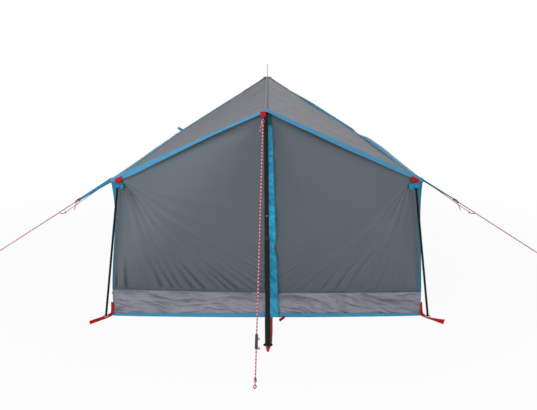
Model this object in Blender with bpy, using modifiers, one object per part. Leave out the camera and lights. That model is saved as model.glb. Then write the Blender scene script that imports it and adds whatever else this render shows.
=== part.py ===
"""Small ridge tent with an overhanging roof, a tub floor, six poles and six guy ropes.

Run it with: blender --background --python part.py
Metres, +Z up. The entrance faces -Y, and the origin is on the ground in the middle of the floor.
"""
import math

import bmesh
import bpy
from mathutils import Vector

END_SIGN = {"front": -1, "rear": 1}
SIDE_SIGN = {"left": -1, "right": 1}
CORNERS = [(end, side) for end in END_SIGN for side in SIDE_SIGN]

# Cloth and webbing
CLOTH = 0.0015
WEBBING = 0.0018
SEAM = 0.001
AIR = 0.0004

# Floor tub
FLOOR_REACH = 1.0
FLOOR_HALF = {"front": 0.765, "rear": 0.665}
TUB_HEIGHT = 0.134
BINDING_HEIGHT = 0.010
BINDING_THICK = 0.0012

# Roof
EAVE_HALF = {"front": 0.753, "rear": 0.645}
EAVE_HEIGHT = {"front": 0.689, "rear": 0.652}
PEAK_REACH = {"front": 1.450, "rear": 1.4135}
PEAK_HEIGHT = {"front": 1.069, "rear": 1.034}
RIDGE_SAG = 0.014
PANEL_SAG = 0.022
EAVE_TRIM_SHARE = 0.055
TRIM_DROP_PEAK = 0.010
TRIM_DROP_CORNER = 0.034
TRIM_PROUD = 0.0027
CAP_HALF = 0.060
CAP_LENGTH = 0.120
CAP_EDGE = PEAK_REACH["front"] + TRIM_PROUD + CLOTH / 2.0

# Walls and doors
WALL_PEAK_REACH = {"front": 1.402, "rear": 1.380}
WALL_PEAK_DROP = 0.011
WALL_CORNER_DROP = 0.007
ROUND_OVER_FROM = 0.25
WALL_FOOT = TUB_HEIGHT + 0.0022
WALL_SAG = 0.018
FOLD_DEPTH = 0.007
FOLD_COUNT = 7
FOLD_MIDDLE = 27.0
DOOR_LEFT_EDGE = 0.0085
DOOR_RIGHT_EDGE = 0.0035
DOOR_TIP = 0.03
DOOR_SEAM_SHARE = 0.003

# Centre zip and storm flap, measured along the zip from its foot
ZIP_LEFT = -0.0060
ZIP_RIGHT = 0.0028
ZIP_THICK = 0.0026
ZIP_START = 0.010
ZIP_END = 0.955
SLIDER = Vector((0.0080, 0.0140, 0.0045))
SLIDER_X = -0.0025
SLIDER_AT = 0.030
PULL = Vector((0.0050, 0.0012, 0.0260))
FLAP_START = 0.004
FLAP_END = 0.93
FLAP_FREE_X = 0.0040
FLAP_SEWN_TOP_X = 0.026
FLAP_SEWN_FOOT_X = 0.053
FLAP_BASE = 0.0050
FLAP_LIFT = 0.0060
FLAP_WAVES = 5
FLAP_WAVE = 0.0030
TAIL_FOOT = 0.012
TAIL_TOP = TUB_HEIGHT - 0.001
TAIL_PROUD_TOP = 0.0028
TAIL_PROUD_FOOT = 0.0058
PULL_EYE = 0.0006

# Centre poles
POLE_REACH = 1.430
POLE_HEAD = {"front": Vector((-0.003, -POLE_REACH, 1.061)), "rear": Vector((0.0, POLE_REACH, 1.030))}
POLE_FOOT = {"front": Vector((0.006, -1.478, 0.0004)), "rear": Vector((0.0, 1.478, 0.0004))}
POLE_LOWER_RADIUS = 0.0110
POLE_UPPER_RADIUS = 0.0092
POLE_SPLIT = 0.520
POLE_TIP_HEIGHT = 0.030
DISC_RADIUS = 0.0215
DISC_HEIGHT = 0.0060
POLE_TOP = {"front": 1.0610, "rear": 1.0250}
PIN_RADIUS = 0.0032
PIN_TOP = 1.130

# Corner poles, hooks, tabs and straps
CORNER_POLE_RADIUS = 0.0055
CORNER_POLE_TOP_IN = 0.042
CORNER_POLE_TOP_OUT = 0.052
CORNER_POLE_TOP_DROP = 0.022
CORNER_FOOT_OUT = Vector((0.030, 0.043, 0.0048))
HOOK = Vector((0.034, 0.016, 0.022))
HOOK_DEPTH = 0.012
TAB_INNER = 0.925
TAB_OUTER = 0.975
PEAK_TAB_OUTER = 0.0356
PEAK_TAB_INNER = 0.0064
STRAP_HALF = 0.009
POLE_STRAP_HALF = 0.018
POLE_STRAP_X = 0.006
FOOT_STRAP_END = Vector((0.092, 0.130, 0.0022))
FOOT_STRAP_RISE = 0.070

# Guy straps and ropes
ROPE_RADIUS = 0.0025
ROPE_POINTS = 12
GUY_STRAP_GAP = 0.013
GUY_STRAP_LENGTH = 0.195
GUY_STRAP_HALF = (0.0120, 0.0055)
CORNER_PEG = {"front": Vector((1.800, -0.700, 0.0035)), "rear": Vector((1.560, 1.300, 0.0035))}
ROPE_START = {"front": Vector((-0.015, -1.4590, 1.030)), "rear": Vector((0.0, 1.4620, 1.020))}
ROPE_PEG = {"front": Vector((-0.0455, -1.840, 0.0035)), "rear": Vector((0.0, 1.760, 0.0035))}
TENSIONER = Vector((0.0115, 0.0090, 0.0600))
TENSIONER_AT = 0.842
TENSIONER_BORE = 0.0032

ROUND_STEPS = 20


def clear_scene():
    for thing in list(bpy.data.objects):
        bpy.data.objects.remove(thing, do_unlink=True)


def new_collection(name):
    collection = bpy.data.collections.new(name)
    bpy.context.scene.collection.children.link(collection)
    return collection


def linear(channel):
    """An 8-bit sRGB channel as the linear value that a shader takes."""
    share = channel / 255.0
    return share / 12.92 if share <= 0.04045 else ((share + 0.055) / 1.055) ** 2.4


def material(name, colour, roughness, metallic=0.0):
    made = bpy.data.materials.new(name)
    made.use_nodes = True
    shader = made.node_tree.nodes["Principled BSDF"]
    shader.inputs["Base Color"].default_value = (*[linear(c) for c in colour], 1.0)
    shader.inputs["Roughness"].default_value = roughness
    shader.inputs["Metallic"].default_value = metallic
    return made


def add_object(name, mesh, finish, collection):
    made = bpy.data.objects.new(name, mesh)
    collection.objects.link(made)
    made.data.materials.append(finish)
    return made


def mesh_from(bm, name):
    mesh = bpy.data.meshes.new(name)
    bm.to_mesh(mesh)
    bm.free()
    return mesh


def thicken(thing, thickness, offset=0.0):
    solid = thing.modifiers.new("thickness", "SOLIDIFY")
    solid.thickness = thickness
    solid.offset = offset


def sheet(name, point, columns, rows, finish, thickness=CLOTH, origin=Vector()):
    """A cloth piece: a grid whose corners 0..1 by 0..1 are placed by point(u, v), then thickened."""
    bm = bmesh.new()
    bmesh.ops.create_grid(bm, x_segments=columns, y_segments=rows, size=0.5)
    for vert in bm.verts:
        vert.co = point(vert.co.x + 0.5, vert.co.y + 0.5) - origin
    mesh = mesh_from(bm, name)
    mesh.shade_smooth()
    made = add_object(name, mesh, finish, PARTS)
    made.location = origin
    thicken(made, thickness)
    return made


def ribbon(name, path, half_widths, finish, thickness=WEBBING):
    """A strap along path, as wide on each side as the half-width vectors say."""
    last = len(path) - 1

    def point(u, v):
        row = round(v * last)
        return path[row] + half_widths[row] * (2.0 * u - 1.0)

    return sheet(name, point, 1, last, finish, thickness)


def upright_turn(direction):
    """The shortest turn from +Z to direction."""
    return Vector((0.0, 0.0, 1.0)).rotation_difference(direction).to_euler()


def turned(name, profile, finish, base, direction=Vector((0.0, 0.0, 1.0))):
    """A solid of revolution from (radius, height) points, top to bottom, standing on base."""
    bm = bmesh.new()
    verts = [bm.verts.new((radius, 0.0, height)) for radius, height in profile]
    for upper, lower in zip(verts, verts[1:]):
        bm.edges.new((upper, lower))
    made = add_object(name, mesh_from(bm, name), finish, PARTS)
    made.location = base
    made.rotation_euler = upright_turn(direction)
    screw = made.modifiers.new("turn", "SCREW")
    screw.steps = ROUND_STEPS
    screw.render_steps = ROUND_STEPS
    screw.use_merge_vertices = True
    screw.merge_threshold = 0.00001
    screw.use_smooth_shade = True
    return made


def box(name, size, finish, place, rotation, bevel, middle=Vector()):
    """A block with rounded edges. Its origin is at place, and middle is its centre seen from there."""
    bm = bmesh.new()
    bmesh.ops.create_cube(bm, size=1.0)
    for vert in bm.verts:
        vert.co = Vector(a * b for a, b in zip(vert.co, size)) + middle
    made = add_object(name, mesh_from(bm, name), finish, PARTS)
    made.location = place
    made.rotation_euler = rotation
    edge = made.modifiers.new("edge", "BEVEL")
    edge.width = bevel
    edge.segments = 2
    return made


def bore(thing, radius, length, centre, rotation):
    """Cut a round hole through or into thing."""
    bm = bmesh.new()
    bmesh.ops.create_cone(
        bm, cap_ends=True, segments=ROUND_STEPS, radius1=radius, radius2=radius, depth=length)
    cutter = bpy.data.objects.new(thing.name + "_cutter", mesh_from(bm, thing.name + "_cutter"))
    CUTTERS.objects.link(cutter)
    cutter.location = centre
    cutter.rotation_euler = rotation
    cutter.hide_render = True
    cutter.display_type = "WIRE"
    cut = thing.modifiers.new("bore", "BOOLEAN")
    cut.operation = "DIFFERENCE"
    cut.solver = "EXACT"
    cut.object = cutter


def joint_empty(name, at, axis):
    """An empty on a joint, with its Z axis along the joint's axis."""
    empty = bpy.data.objects.new(name, None)
    PARTS.objects.link(empty)
    empty.location = at
    empty.rotation_euler = upright_turn(axis)
    empty.empty_display_size = 0.1
    return empty


def hang(parent, children):
    """Parent the children to an empty and leave them where they are."""
    bpy.context.view_layer.update()
    inverse = parent.matrix_world.inverted()
    for child in children:
        child.parent = parent
        child.matrix_parent_inverse = inverse


def rope(name, start, end, finish):
    """A taut rope from start to end, as a round tube with closed ends."""
    curve = bpy.data.curves.new(name, "CURVE")
    curve.dimensions = "3D"
    curve.bevel_depth = ROPE_RADIUS
    curve.bevel_resolution = 2
    curve.use_fill_caps = True
    line = curve.splines.new("POLY")
    line.points.add(ROPE_POINTS - 1)
    for index, point in enumerate(line.points):
        point.co = (*start.lerp(end, index / (ROPE_POINTS - 1)), 1.0)
    return add_object(name, curve, finish, PARTS)


def blend4(a, b, c, d, u, v):
    """The point of a four-cornered patch: a and b at v = 0, d and c at v = 1."""
    return a.lerp(b, u).lerp(d.lerp(c, u), v)


def half_sine(share):
    return math.sin(math.pi * share)


# Roof

def eave_corner(end, side):
    return Vector((side * EAVE_HALF[end], END_SIGN[end] * FLOOR_REACH, EAVE_HEIGHT[end]))


def roof_peak(end):
    return Vector((0.0, END_SIGN[end] * PEAK_REACH[end], PEAK_HEIGHT[end]))


def roof_point(side, u, v):
    """The roof from the ridge (u = 0) to the eave (u = 1), from the front (v = 0) to the rear."""
    flat = blend4(roof_peak("front"), eave_corner("front", side),
                  eave_corner("rear", side), roof_peak("rear"), u, v)
    sag = half_sine(v) * (RIDGE_SAG * (1.0 - u) + PANEL_SAG * half_sine(u))
    return flat - Vector((0.0, 0.0, sag))


def edge_trim_point(end, u, drop_share, proud):
    """The hanging trim on a gable edge: u runs from -1 (left) through the peak (0) to 1 (right)."""
    side = -1.0 if u < 0.0 else 1.0
    edge = roof_peak(end).lerp(eave_corner(end, side), abs(u))
    drop = TRIM_DROP_PEAK + (TRIM_DROP_CORNER - TRIM_DROP_PEAK) * abs(u)
    forward = END_SIGN[end] * (TRIM_PROUD + proud)
    return edge + Vector((0.0, forward, CLOTH - drop_share * drop))


def make_roof():
    panel_share = 1.0 - EAVE_TRIM_SHARE
    for word, side in SIDE_SIGN.items():

        def panel(u, v):
            point = roof_point(side, u * panel_share, v)
            point.x += side * SEAM * (1.0 - u)
            return point

        def trim(u, v):
            share = panel_share + 0.0015 + (EAVE_TRIM_SHARE - 0.0015) * u
            return roof_point(side, share, v)

        sheet("roof_panel_" + word, panel, 10, 14, GREY_ROOF)
        sheet("eave_trim_" + word, trim, 1, 14, BLUE_TRIM)
    for end in END_SIGN:

        def gable(u, v):
            return edge_trim_point(end, 2.0 * u - 1.0, v, 0.0)

        sheet(end + "_edge_trim", gable, 16, 1, BLUE_TRIM)
    make_peak_cap()


def make_peak_cap():
    """The reinforcement over the rear peak, with the eyelet that the pole's pin goes through."""
    ridge = roof_peak("rear")
    slope = (PEAK_HEIGHT["rear"] - EAVE_HEIGHT["rear"]) / EAVE_HALF["rear"]
    lift = 2.0 * CLOTH + AIR

    def cap(u, v):
        across = CAP_HALF * (2.0 * u - 1.0)
        along = CAP_EDGE - CAP_LENGTH * (1.0 - v)
        return Vector((across, along, ridge.z - slope * abs(across) + lift))

    made = sheet("rear_peak_cap", cap, 6, 4, GREY_CAP)
    bore(made, PIN_RADIUS + 0.0012, 0.05, Vector((0.0, POLE_REACH, ridge.z)), (0.0, 0.0, 0.0))


# Walls, doors and floor

def wall_corners(end, side):
    """The corners of half a gable wall: foot centre, foot corner, top corner and peak."""
    sign = END_SIGN[end]
    foot_centre = Vector((0.0, sign * FLOOR_REACH, WALL_FOOT))
    foot_corner = Vector((side * (FLOOR_HALF[end] - CLOTH), sign * FLOOR_REACH, WALL_FOOT))
    top_corner = eave_corner(end, side)
    top_corner += Vector((-side * 0.0035, -sign * 0.001, -WALL_CORNER_DROP))
    peak = Vector((0.0, sign * WALL_PEAK_REACH[end], PEAK_HEIGHT[end] - WALL_PEAK_DROP))
    return foot_centre, foot_corner, top_corner, peak


def wall_point(end, side, u, v):
    """Half a gable wall, rounded over the straight line from its peak to its foot corner.

    u runs from the centre (0) to the corner (1), and v from the foot (0) to the top (1).
    Along the centre the cloth is flat, and the rounding grows from there to the corner.
    """
    centre, foot, top, peak = wall_corners(end, side)
    below = u * v
    above = (1.0 - u) * (1.0 - v)
    flat = min(below, above)
    rounded = 2.0 * below * above / (below + above) if below + above > 0.0 else 0.0
    share = min(u / ROUND_OVER_FROM, 1.0)
    lift = flat + (rounded - flat) * share * share * (3.0 - 2.0 * share)
    return blend4(centre, foot, top, peak, u, v) + (peak + foot - centre - top) * lift


def fold(u, v, window):
    """The depth of the folds that fan out from the top corner."""
    angle = math.atan2(1.0 - v, 1.0 - u)
    return FOLD_DEPTH * FOLD_MIDDLE * window * math.sin(2.0 * FOLD_COUNT * angle)


def door_point(side, u, v):
    """The door's cloth, which lies below the straight line from the peak to the foot corner."""
    point = wall_point("front", side, u, v)
    point.y += fold(u, v, u * v * max(1.0 - u - v, 0.0))
    return point


def make_gable_half(word, side):
    """The fixed upper triangle of the front wall, and the door flap below its diagonal."""
    near = DOOR_LEFT_EDGE if side < 0 else DOOR_RIGHT_EDGE
    inner = near / FLOOR_HALF["front"]

    def fixed(a, b):
        u = DOOR_TIP + (1.0 - DOOR_TIP) * a
        start = 1.0 - u + DOOR_SEAM_SHARE
        v = start + (1.0 - start) * b
        point = wall_point("front", side, u, v)
        point.y += fold(u, v, (1.0 - u) * (1.0 - v) * max(u + v - 1.0, 0.0))
        return point

    def door(a, b):
        u = inner + (1.0 - DOOR_TIP - inner) * a
        return door_point(side, u, (1.0 - u - DOOR_SEAM_SHARE - DOOR_TIP * (1.0 - a)) * b)

    sheet("front_wall_" + word, fixed, 14, 10, GREY_WALL)
    _, foot, _, peak = wall_corners("front", side)
    flap = sheet("door_" + word, door, 14, 12, GREY_WALL, origin=foot)
    diagonal = joint_empty("door_" + word + "_hinge", foot, side * (peak - foot))
    hang(diagonal, [flap])
    return diagonal


def make_rear_wall():

    def wall(a, b):
        across = 2.0 * a - 1.0
        side = -1.0 if across < 0.0 else 1.0
        u = abs(across)
        point = wall_point("rear", side, u, b)
        window = u * (1.0 - u) * b * (1.0 - b)
        point.y -= fold(u, b, window)
        return point

    sheet("rear_wall", wall, 24, 8, GREY_WALL)


def make_side_wall(word, side):
    inset = 3.0 * CLOTH
    lower = [Vector((side * (FLOOR_HALF[end] - CLOTH), sign * (FLOOR_REACH - inset), WALL_FOOT))
             for end, sign in END_SIGN.items()]
    upper = [Vector((side * (EAVE_HALF[end] - inset), sign * (FLOOR_REACH - inset - 0.001),
                     EAVE_HEIGHT[end] - WALL_CORNER_DROP)) for end, sign in END_SIGN.items()]

    def wall(u, v):
        point = blend4(lower[0], lower[1], upper[1], upper[0], u, v)
        drape = FOLD_DEPTH * math.sin(2.0 * math.pi * FOLD_COUNT * u) * (1.0 - v)
        point.x -= side * half_sine(u) * half_sine(v) * (WALL_SAG + drape)
        point.z -= half_sine(u) * v * PANEL_SAG * 0.5
        return point

    sheet("side_wall_" + word, wall, 16, 6, TEAL)


def tapered_ring(bm, outset, low, high):
    """An upright box over the floor's tapered outline, as the faces of a cube."""
    bmesh.ops.create_cube(bm, size=2.0)
    for vert in bm.verts:
        end = "front" if vert.co.y < 0 else "rear"
        vert.co.x *= FLOOR_HALF[end] + outset
        vert.co.y *= FLOOR_REACH + outset
        vert.co.z = low if vert.co.z < 0 else high


def drop_faces(bm, upward, downward):
    doomed = [face for face in bm.faces
              if (upward and face.normal.z > 0.9) or (downward and face.normal.z < -0.9)]
    bmesh.ops.delete(bm, geom=doomed, context="FACES_ONLY")


def make_floor():
    bm = bmesh.new()
    tapered_ring(bm, 0.0, 0.0, TUB_HEIGHT)
    drop_faces(bm, True, False)
    tub = add_object("tub_floor", mesh_from(bm, "tub_floor"), GREY_TUB, PARTS)
    thicken(tub, CLOTH, -1.0)
    bm = bmesh.new()
    tapered_ring(bm, BINDING_THICK + AIR, AIR, BINDING_HEIGHT)
    drop_faces(bm, True, True)
    binding = add_object("floor_binding", mesh_from(bm, "floor_binding"), BLUE_TRIM, PARTS)
    thicken(binding, BINDING_THICK, -1.0)


# Zip and storm flap

def zip_line():
    """The foot, direction, outward normal and length of the straight centre line of the doors."""
    foot, _, _, peak = wall_corners("front", 1.0)
    along = peak - foot
    length = along.length
    along.normalize()
    return foot, along, Vector((0.0, -along.z, along.y)), length


def zip_frame():
    """The rotation that turns X, Y, Z into across the zip, up along it and out from the door."""
    _, along, _, _ = zip_line()
    return (math.atan2(along.z, along.y), 0.0, 0.0)


def on_zip(across, along_length, out):
    foot, along, outward, _ = zip_line()
    return foot + Vector((across, 0.0, 0.0)) + along * along_length + outward * out


def make_zip():
    _, _, _, length = zip_line()

    def chain(u, v):
        at = ZIP_START + (length * ZIP_END - ZIP_START) * v
        return on_zip(ZIP_LEFT + (ZIP_RIGHT - ZIP_LEFT) * u, at, 0.0)

    teeth = sheet("zip_chain", chain, 1, 12, BLACK, ZIP_THICK)
    out = ZIP_THICK / 2.0 + AIR + SLIDER.z / 2.0
    slider = box("zip_slider", SLIDER, STEEL, on_zip(SLIDER_X, SLIDER_AT, out), zip_frame(), 0.001)
    out += SLIDER.z / 2.0 + AIR + PULL.y / 2.0
    eye = on_zip(SLIDER_X, SLIDER_AT + PULL_EYE, out)
    below = Vector((0.0, 0.0, PULL_EYE - PULL.z / 2.0))
    pull = box("zip_pull", PULL, STEEL, eye, (0.0, 0.0, 0.0), 0.0004, below)
    return [teeth, slider, pull]


def flap_ends(x_foot, x_top):
    """Both ends of a straight line up the right door, at these distances from the middle."""
    width = FLOOR_HALF["front"]
    return door_point(1.0, x_foot / width, FLAP_START), door_point(1.0, x_top / width, FLAP_END)


def flap_point(u, v):
    """The storm flap between its free edge (u = 0) and its sewn edge (u = 1)."""
    _, _, outward, _ = zip_line()
    free_foot, free_top = flap_ends(FLAP_FREE_X, FLAP_FREE_X)
    sewn_foot, sewn_top = flap_ends(FLAP_SEWN_FOOT_X, FLAP_SEWN_TOP_X)
    flat = blend4(free_foot, sewn_foot, sewn_top, free_top, u, v)
    wave = 1.0 + math.sin(2.0 * math.pi * FLAP_WAVES * v + 2.0 * u)
    return flat + outward * (FLAP_BASE + FLAP_LIFT * (1.0 - u) + FLAP_WAVE * wave * half_sine(u))


def make_storm_flap():
    foot = flap_point(1.0, 0.0)
    return sheet("storm_flap", flap_point, 4, 24, TEAL, origin=foot)


def make_flap_tail():
    """The strip under the storm flap's foot, sewn down over the front of the floor's tub."""
    def tail(u, v):
        proud = TAIL_PROUD_FOOT + (TAIL_PROUD_TOP - TAIL_PROUD_FOOT) * v
        height = TAIL_FOOT + (TAIL_TOP - TAIL_FOOT) * v
        return Vector((flap_point(u, 0.0).x, -FLOOR_REACH - proud, height))

    sheet("storm_flap_tail", tail, 4, 3, TEAL)


def hang_zip_side(door):
    """What the right door carries: the zip with its slider and pull, and the storm flap over it."""
    teeth, slider, pull = make_zip()
    flap = make_storm_flap()
    foot, top = flap_point(1.0, 0.0), flap_point(1.0, 1.0)
    fold_line = joint_empty("storm_flap_hinge", foot, top - foot)
    pin = joint_empty("zip_pull_hinge", pull.location, Vector((-1.0, 0.0, 0.0)))
    hang(fold_line, [flap])
    hang(pin, [pull])
    hang(slider, [pin])
    hang(door, [teeth, slider, fold_line])


# Poles

def make_centre_pole(end):
    """A pole in two parts, whose foot stands a little further out than its head."""
    foot = POLE_FOOT[end]
    up = (POLE_HEAD[end] - foot).normalized()
    disc_foot = POLE_TIP_HEIGHT + AIR
    lower_foot = disc_foot + DISC_HEIGHT + AIR
    tip = [(0.0, POLE_TIP_HEIGHT), (0.0095, POLE_TIP_HEIGHT), (0.0095, 0.020),
           (0.0055, 0.003), (0.0035, 0.0), (0.0, 0.0)]
    disc = [(0.0, disc_foot + DISC_HEIGHT), (0.014, disc_foot + DISC_HEIGHT),
            (DISC_RADIUS - 0.0015, disc_foot + 0.0040), (DISC_RADIUS, disc_foot + 0.0025),
            (DISC_RADIUS - 0.0010, disc_foot), (0.0, disc_foot)]
    lower = [(0.0, POLE_SPLIT), (POLE_LOWER_RADIUS - 0.0015, POLE_SPLIT),
             (POLE_LOWER_RADIUS, POLE_SPLIT - 0.002), (POLE_LOWER_RADIUS, lower_foot), (0.0, lower_foot)]
    top = POLE_TOP[end]
    cap = [(0.0, top), (POLE_UPPER_RADIUS - 0.003, top), (POLE_UPPER_RADIUS, top - 0.003)]
    if end == "rear":
        pin = [(0.0, PIN_TOP), (PIN_RADIUS * 0.6, PIN_TOP), (PIN_RADIUS, PIN_TOP - 0.004),
               (PIN_RADIUS, top)]
        cap = pin + cap[1:]
    upper = cap + [(POLE_UPPER_RADIUS, POLE_SPLIT + AIR), (0.0, POLE_SPLIT + AIR)]
    turned(end + "_pole_tip", tip, RED_PLASTIC, foot, up)
    turned(end + "_pole_disc", disc, BLACK, foot, up)
    turned(end + "_pole_lower", lower, BLACK, foot, up)
    turned(end + "_pole_upper", upper, BLACK, foot, up)


def corner_pole_line(end, side):
    """The foot and the top of a corner pole."""
    sign = END_SIGN[end]
    foot = Vector((side * (FLOOR_HALF[end] + CORNER_FOOT_OUT.x),
                   sign * (FLOOR_REACH + CORNER_FOOT_OUT.y), CORNER_FOOT_OUT.z))
    top = Vector((side * (EAVE_HALF[end] - CORNER_POLE_TOP_IN),
                  sign * (FLOOR_REACH + CORNER_POLE_TOP_OUT), EAVE_HEIGHT[end] - CORNER_POLE_TOP_DROP))
    return foot, top


def make_corner(end, word, side):
    name = "_" + end + "_" + word
    foot, top = corner_pole_line(end, side)
    up = (top - foot).normalized()
    length = (top - foot).length
    radius = CORNER_POLE_RADIUS
    pole = [(0.0, length), (radius * 0.7, length), (radius, length - 0.002), (radius, 0.004),
            (radius * 0.6, 0.0), (0.0, 0.0)]
    turned("corner_pole" + name, pole, BLACK, foot, up)
    turn = upright_turn(up)
    centre = top + up * (HOOK.z / 2.0 - HOOK_DEPTH + AIR)
    hook = box("corner_hook" + name, HOOK, BLUE_TRIM, centre, turn, 0.002)
    bore(hook, radius + AIR, 2.0 * HOOK_DEPTH, top + up * AIR - up * HOOK_DEPTH, turn)

    def tab(u, v):
        share = TAB_INNER + (TAB_OUTER - TAB_INNER) * u
        return edge_trim_point(end, side * share, 0.10 + 0.72 * v, CLOTH + WEBBING)

    sheet("corner_tab" + name, tab, 3, 2, RED_WEB, WEBBING)
    make_foot_strap(end, word, side)


def make_foot_strap(end, word, side):
    """The webbing sewn up the corner of the floor and led under the corner pole's foot."""
    sign = END_SIGN[end]
    corner = Vector((side * FLOOR_HALF[end], sign * FLOOR_REACH, 0.0))

    def out(distance_x, distance_y, height):
        return corner + Vector((side * distance_x, sign * distance_y, height))

    run = Vector((side * FOOT_STRAP_END.x, sign * FOOT_STRAP_END.y, 0.0)).normalized()
    half = Vector((run.y, -run.x, 0.0)) * STRAP_HALF
    path = [out(0.0035, 0.0045, FOOT_STRAP_RISE), out(0.0035, 0.0045, 0.030),
            out(0.0045, 0.0060, 0.010), out(0.0080, 0.0110, 0.0032),
            out(CORNER_FOOT_OUT.x, CORNER_FOOT_OUT.y, FOOT_STRAP_END.z),
            out(FOOT_STRAP_END.x, FOOT_STRAP_END.y, FOOT_STRAP_END.z)]
    ribbon("foot_strap_" + end + "_" + word, path, [half] * len(path), RED_WEB)


def make_centre_strap(end):
    """The webbing that holds the centre pole's foot to the floor's edge."""
    sign = END_SIGN[end]
    start = FLOOR_REACH + BINDING_THICK + 0.003
    stop = abs(POLE_FOOT[end].y) - 0.0125
    places = [(start, 0.009), (start + 0.012, 0.0024), (0.5 * (start + stop), 0.0022), (stop, 0.0022)]
    path = [Vector((POLE_STRAP_X, sign * reach, height)) for reach, height in places]
    half = Vector((POLE_STRAP_HALF, 0.0, 0.0))
    ribbon(end + "_pole_strap", path, [half] * len(path), RED_WEB)


# Guy straps and ropes

def make_corner_guy(end, word, side):
    corner = eave_corner(end, side)
    peg = Vector((side * CORNER_PEG[end].x, CORNER_PEG[end].y, CORNER_PEG[end].z))
    along = (peg - corner).normalized()
    start = corner + along * GUY_STRAP_GAP
    level = Vector((along.y, -along.x, 0.0)).normalized()
    upright = level.cross(along).normalized()
    path = [start + along * (GUY_STRAP_LENGTH * share) for share in (0.0, 0.25, 0.6, 1.0)]
    wide, narrow = GUY_STRAP_HALF
    halves = [upright * (wide + (narrow - wide) * share) for share in (0.0, 0.25, 0.6, 1.0)]
    ribbon("guy_strap_" + end + "_" + word, path, halves, BLUE_TRIM)
    rope_start = path[-1] + along * (AIR + 0.001)
    rope("guy_rope_" + end + "_" + word, rope_start, peg, ROPE)


def make_centre_guy(end):
    start = ROPE_START[end]
    peg = ROPE_PEG[end]
    along = (peg - start).normalized()
    rope(end + "_guy_rope", start, peg, ROPE)
    turn = upright_turn(along)
    centre = start.lerp(peg, TENSIONER_AT)
    grip = box(end + "_guy_tensioner", TENSIONER, BLACK, centre, turn, 0.002)
    bore(grip, TENSIONER_BORE, TENSIONER.z * 2.0, centre, turn)


def make_peak_tab():
    """The webbing loop under the front peak that the front guy is tied to."""
    bottom = ROPE_START["front"].z + 0.006

    def tab(u, v):
        share = PEAK_TAB_OUTER + (PEAK_TAB_INNER - PEAK_TAB_OUTER) * u
        point = edge_trim_point("front", -share, 0.0, 2.0 * WEBBING)
        width = 1.0 - 0.45 * v
        middle = ROPE_START["front"].x
        point.x = middle + (point.x - middle) * width
        point.z = point.z - 0.006 - (point.z - 0.006 - bottom) * v
        return point

    sheet("front_peak_tab", tab, 2, 3, RED_WEB, WEBBING)


clear_scene()
PARTS = new_collection("camping_tent")
CUTTERS = new_collection("cutters")
GREY_ROOF = material("grey_roof_cloth", (133, 134, 138), 0.75)
GREY_CAP = material("grey_cap_cloth", (105, 108, 112), 0.75)
GREY_WALL = material("grey_wall_cloth", (97, 103, 110), 0.75)
GREY_TUB = material("grey_floor_sheet", (140, 138, 145), 0.6)
BLUE_TRIM = material("blue_trim", (80, 158, 200), 0.7)
TEAL = material("teal_cloth", (40, 145, 180), 0.65)
RED_WEB = material("red_webbing", (200, 25, 30), 0.7)
RED_PLASTIC = material("red_plastic", (195, 25, 30), 0.4)
BLACK = material("black_pole", (25, 28, 27), 0.4)
STEEL = material("zip_metal", (150, 152, 155), 0.35, 1.0)
ROPE = material("red_white_rope", (215, 120, 125), 0.8)

make_roof()
make_floor()
make_rear_wall()
for side_word, side_sign in SIDE_SIGN.items():
    make_side_wall(side_word, side_sign)
door_hinges = [make_gable_half(*item) for item in SIDE_SIGN.items()]
hang_zip_side(door_hinges[1])
make_flap_tail()
for end_word in END_SIGN:
    make_centre_pole(end_word)
    make_centre_strap(end_word)
    make_centre_guy(end_word)
make_peak_tab()
for end_word, side_word in CORNERS:
    make_corner(end_word, side_word, SIDE_SIGN[side_word])
    make_corner_guy(end_word, side_word, SIDE_SIGN[side_word])
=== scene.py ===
import math
from itertools import accumulate

import bmesh
import bpy
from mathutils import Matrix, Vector, noise


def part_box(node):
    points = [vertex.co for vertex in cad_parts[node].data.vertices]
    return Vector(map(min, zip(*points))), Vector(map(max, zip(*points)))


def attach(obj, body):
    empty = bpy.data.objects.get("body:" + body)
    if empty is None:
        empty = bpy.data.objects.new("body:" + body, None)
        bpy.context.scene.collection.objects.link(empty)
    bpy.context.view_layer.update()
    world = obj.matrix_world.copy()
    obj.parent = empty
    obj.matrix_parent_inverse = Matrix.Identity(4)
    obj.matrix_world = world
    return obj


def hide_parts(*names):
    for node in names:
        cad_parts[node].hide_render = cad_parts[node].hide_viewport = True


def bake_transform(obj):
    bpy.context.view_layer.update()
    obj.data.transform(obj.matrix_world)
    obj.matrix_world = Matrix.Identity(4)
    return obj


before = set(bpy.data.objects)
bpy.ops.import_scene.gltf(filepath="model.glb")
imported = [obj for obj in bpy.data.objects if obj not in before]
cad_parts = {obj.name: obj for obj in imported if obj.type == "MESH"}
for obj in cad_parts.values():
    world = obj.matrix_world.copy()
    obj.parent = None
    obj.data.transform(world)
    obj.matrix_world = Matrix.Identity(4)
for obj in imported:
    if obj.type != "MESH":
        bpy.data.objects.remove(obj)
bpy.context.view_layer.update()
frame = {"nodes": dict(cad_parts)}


def vec(x, y, z=0):
    return Vector((x, y, z))


END_SIGN = {"front": -1, "rear": 1}
SIDE_SIGN = {"left": -1, "right": 1}
CORNERS = [(end, word) for end in END_SIGN for word in SIDE_SIGN]
RIGHT, BACK, UP = vec(1, 0), vec(0, 1), vec(0, 0, 1)
MM = 0.001

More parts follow.
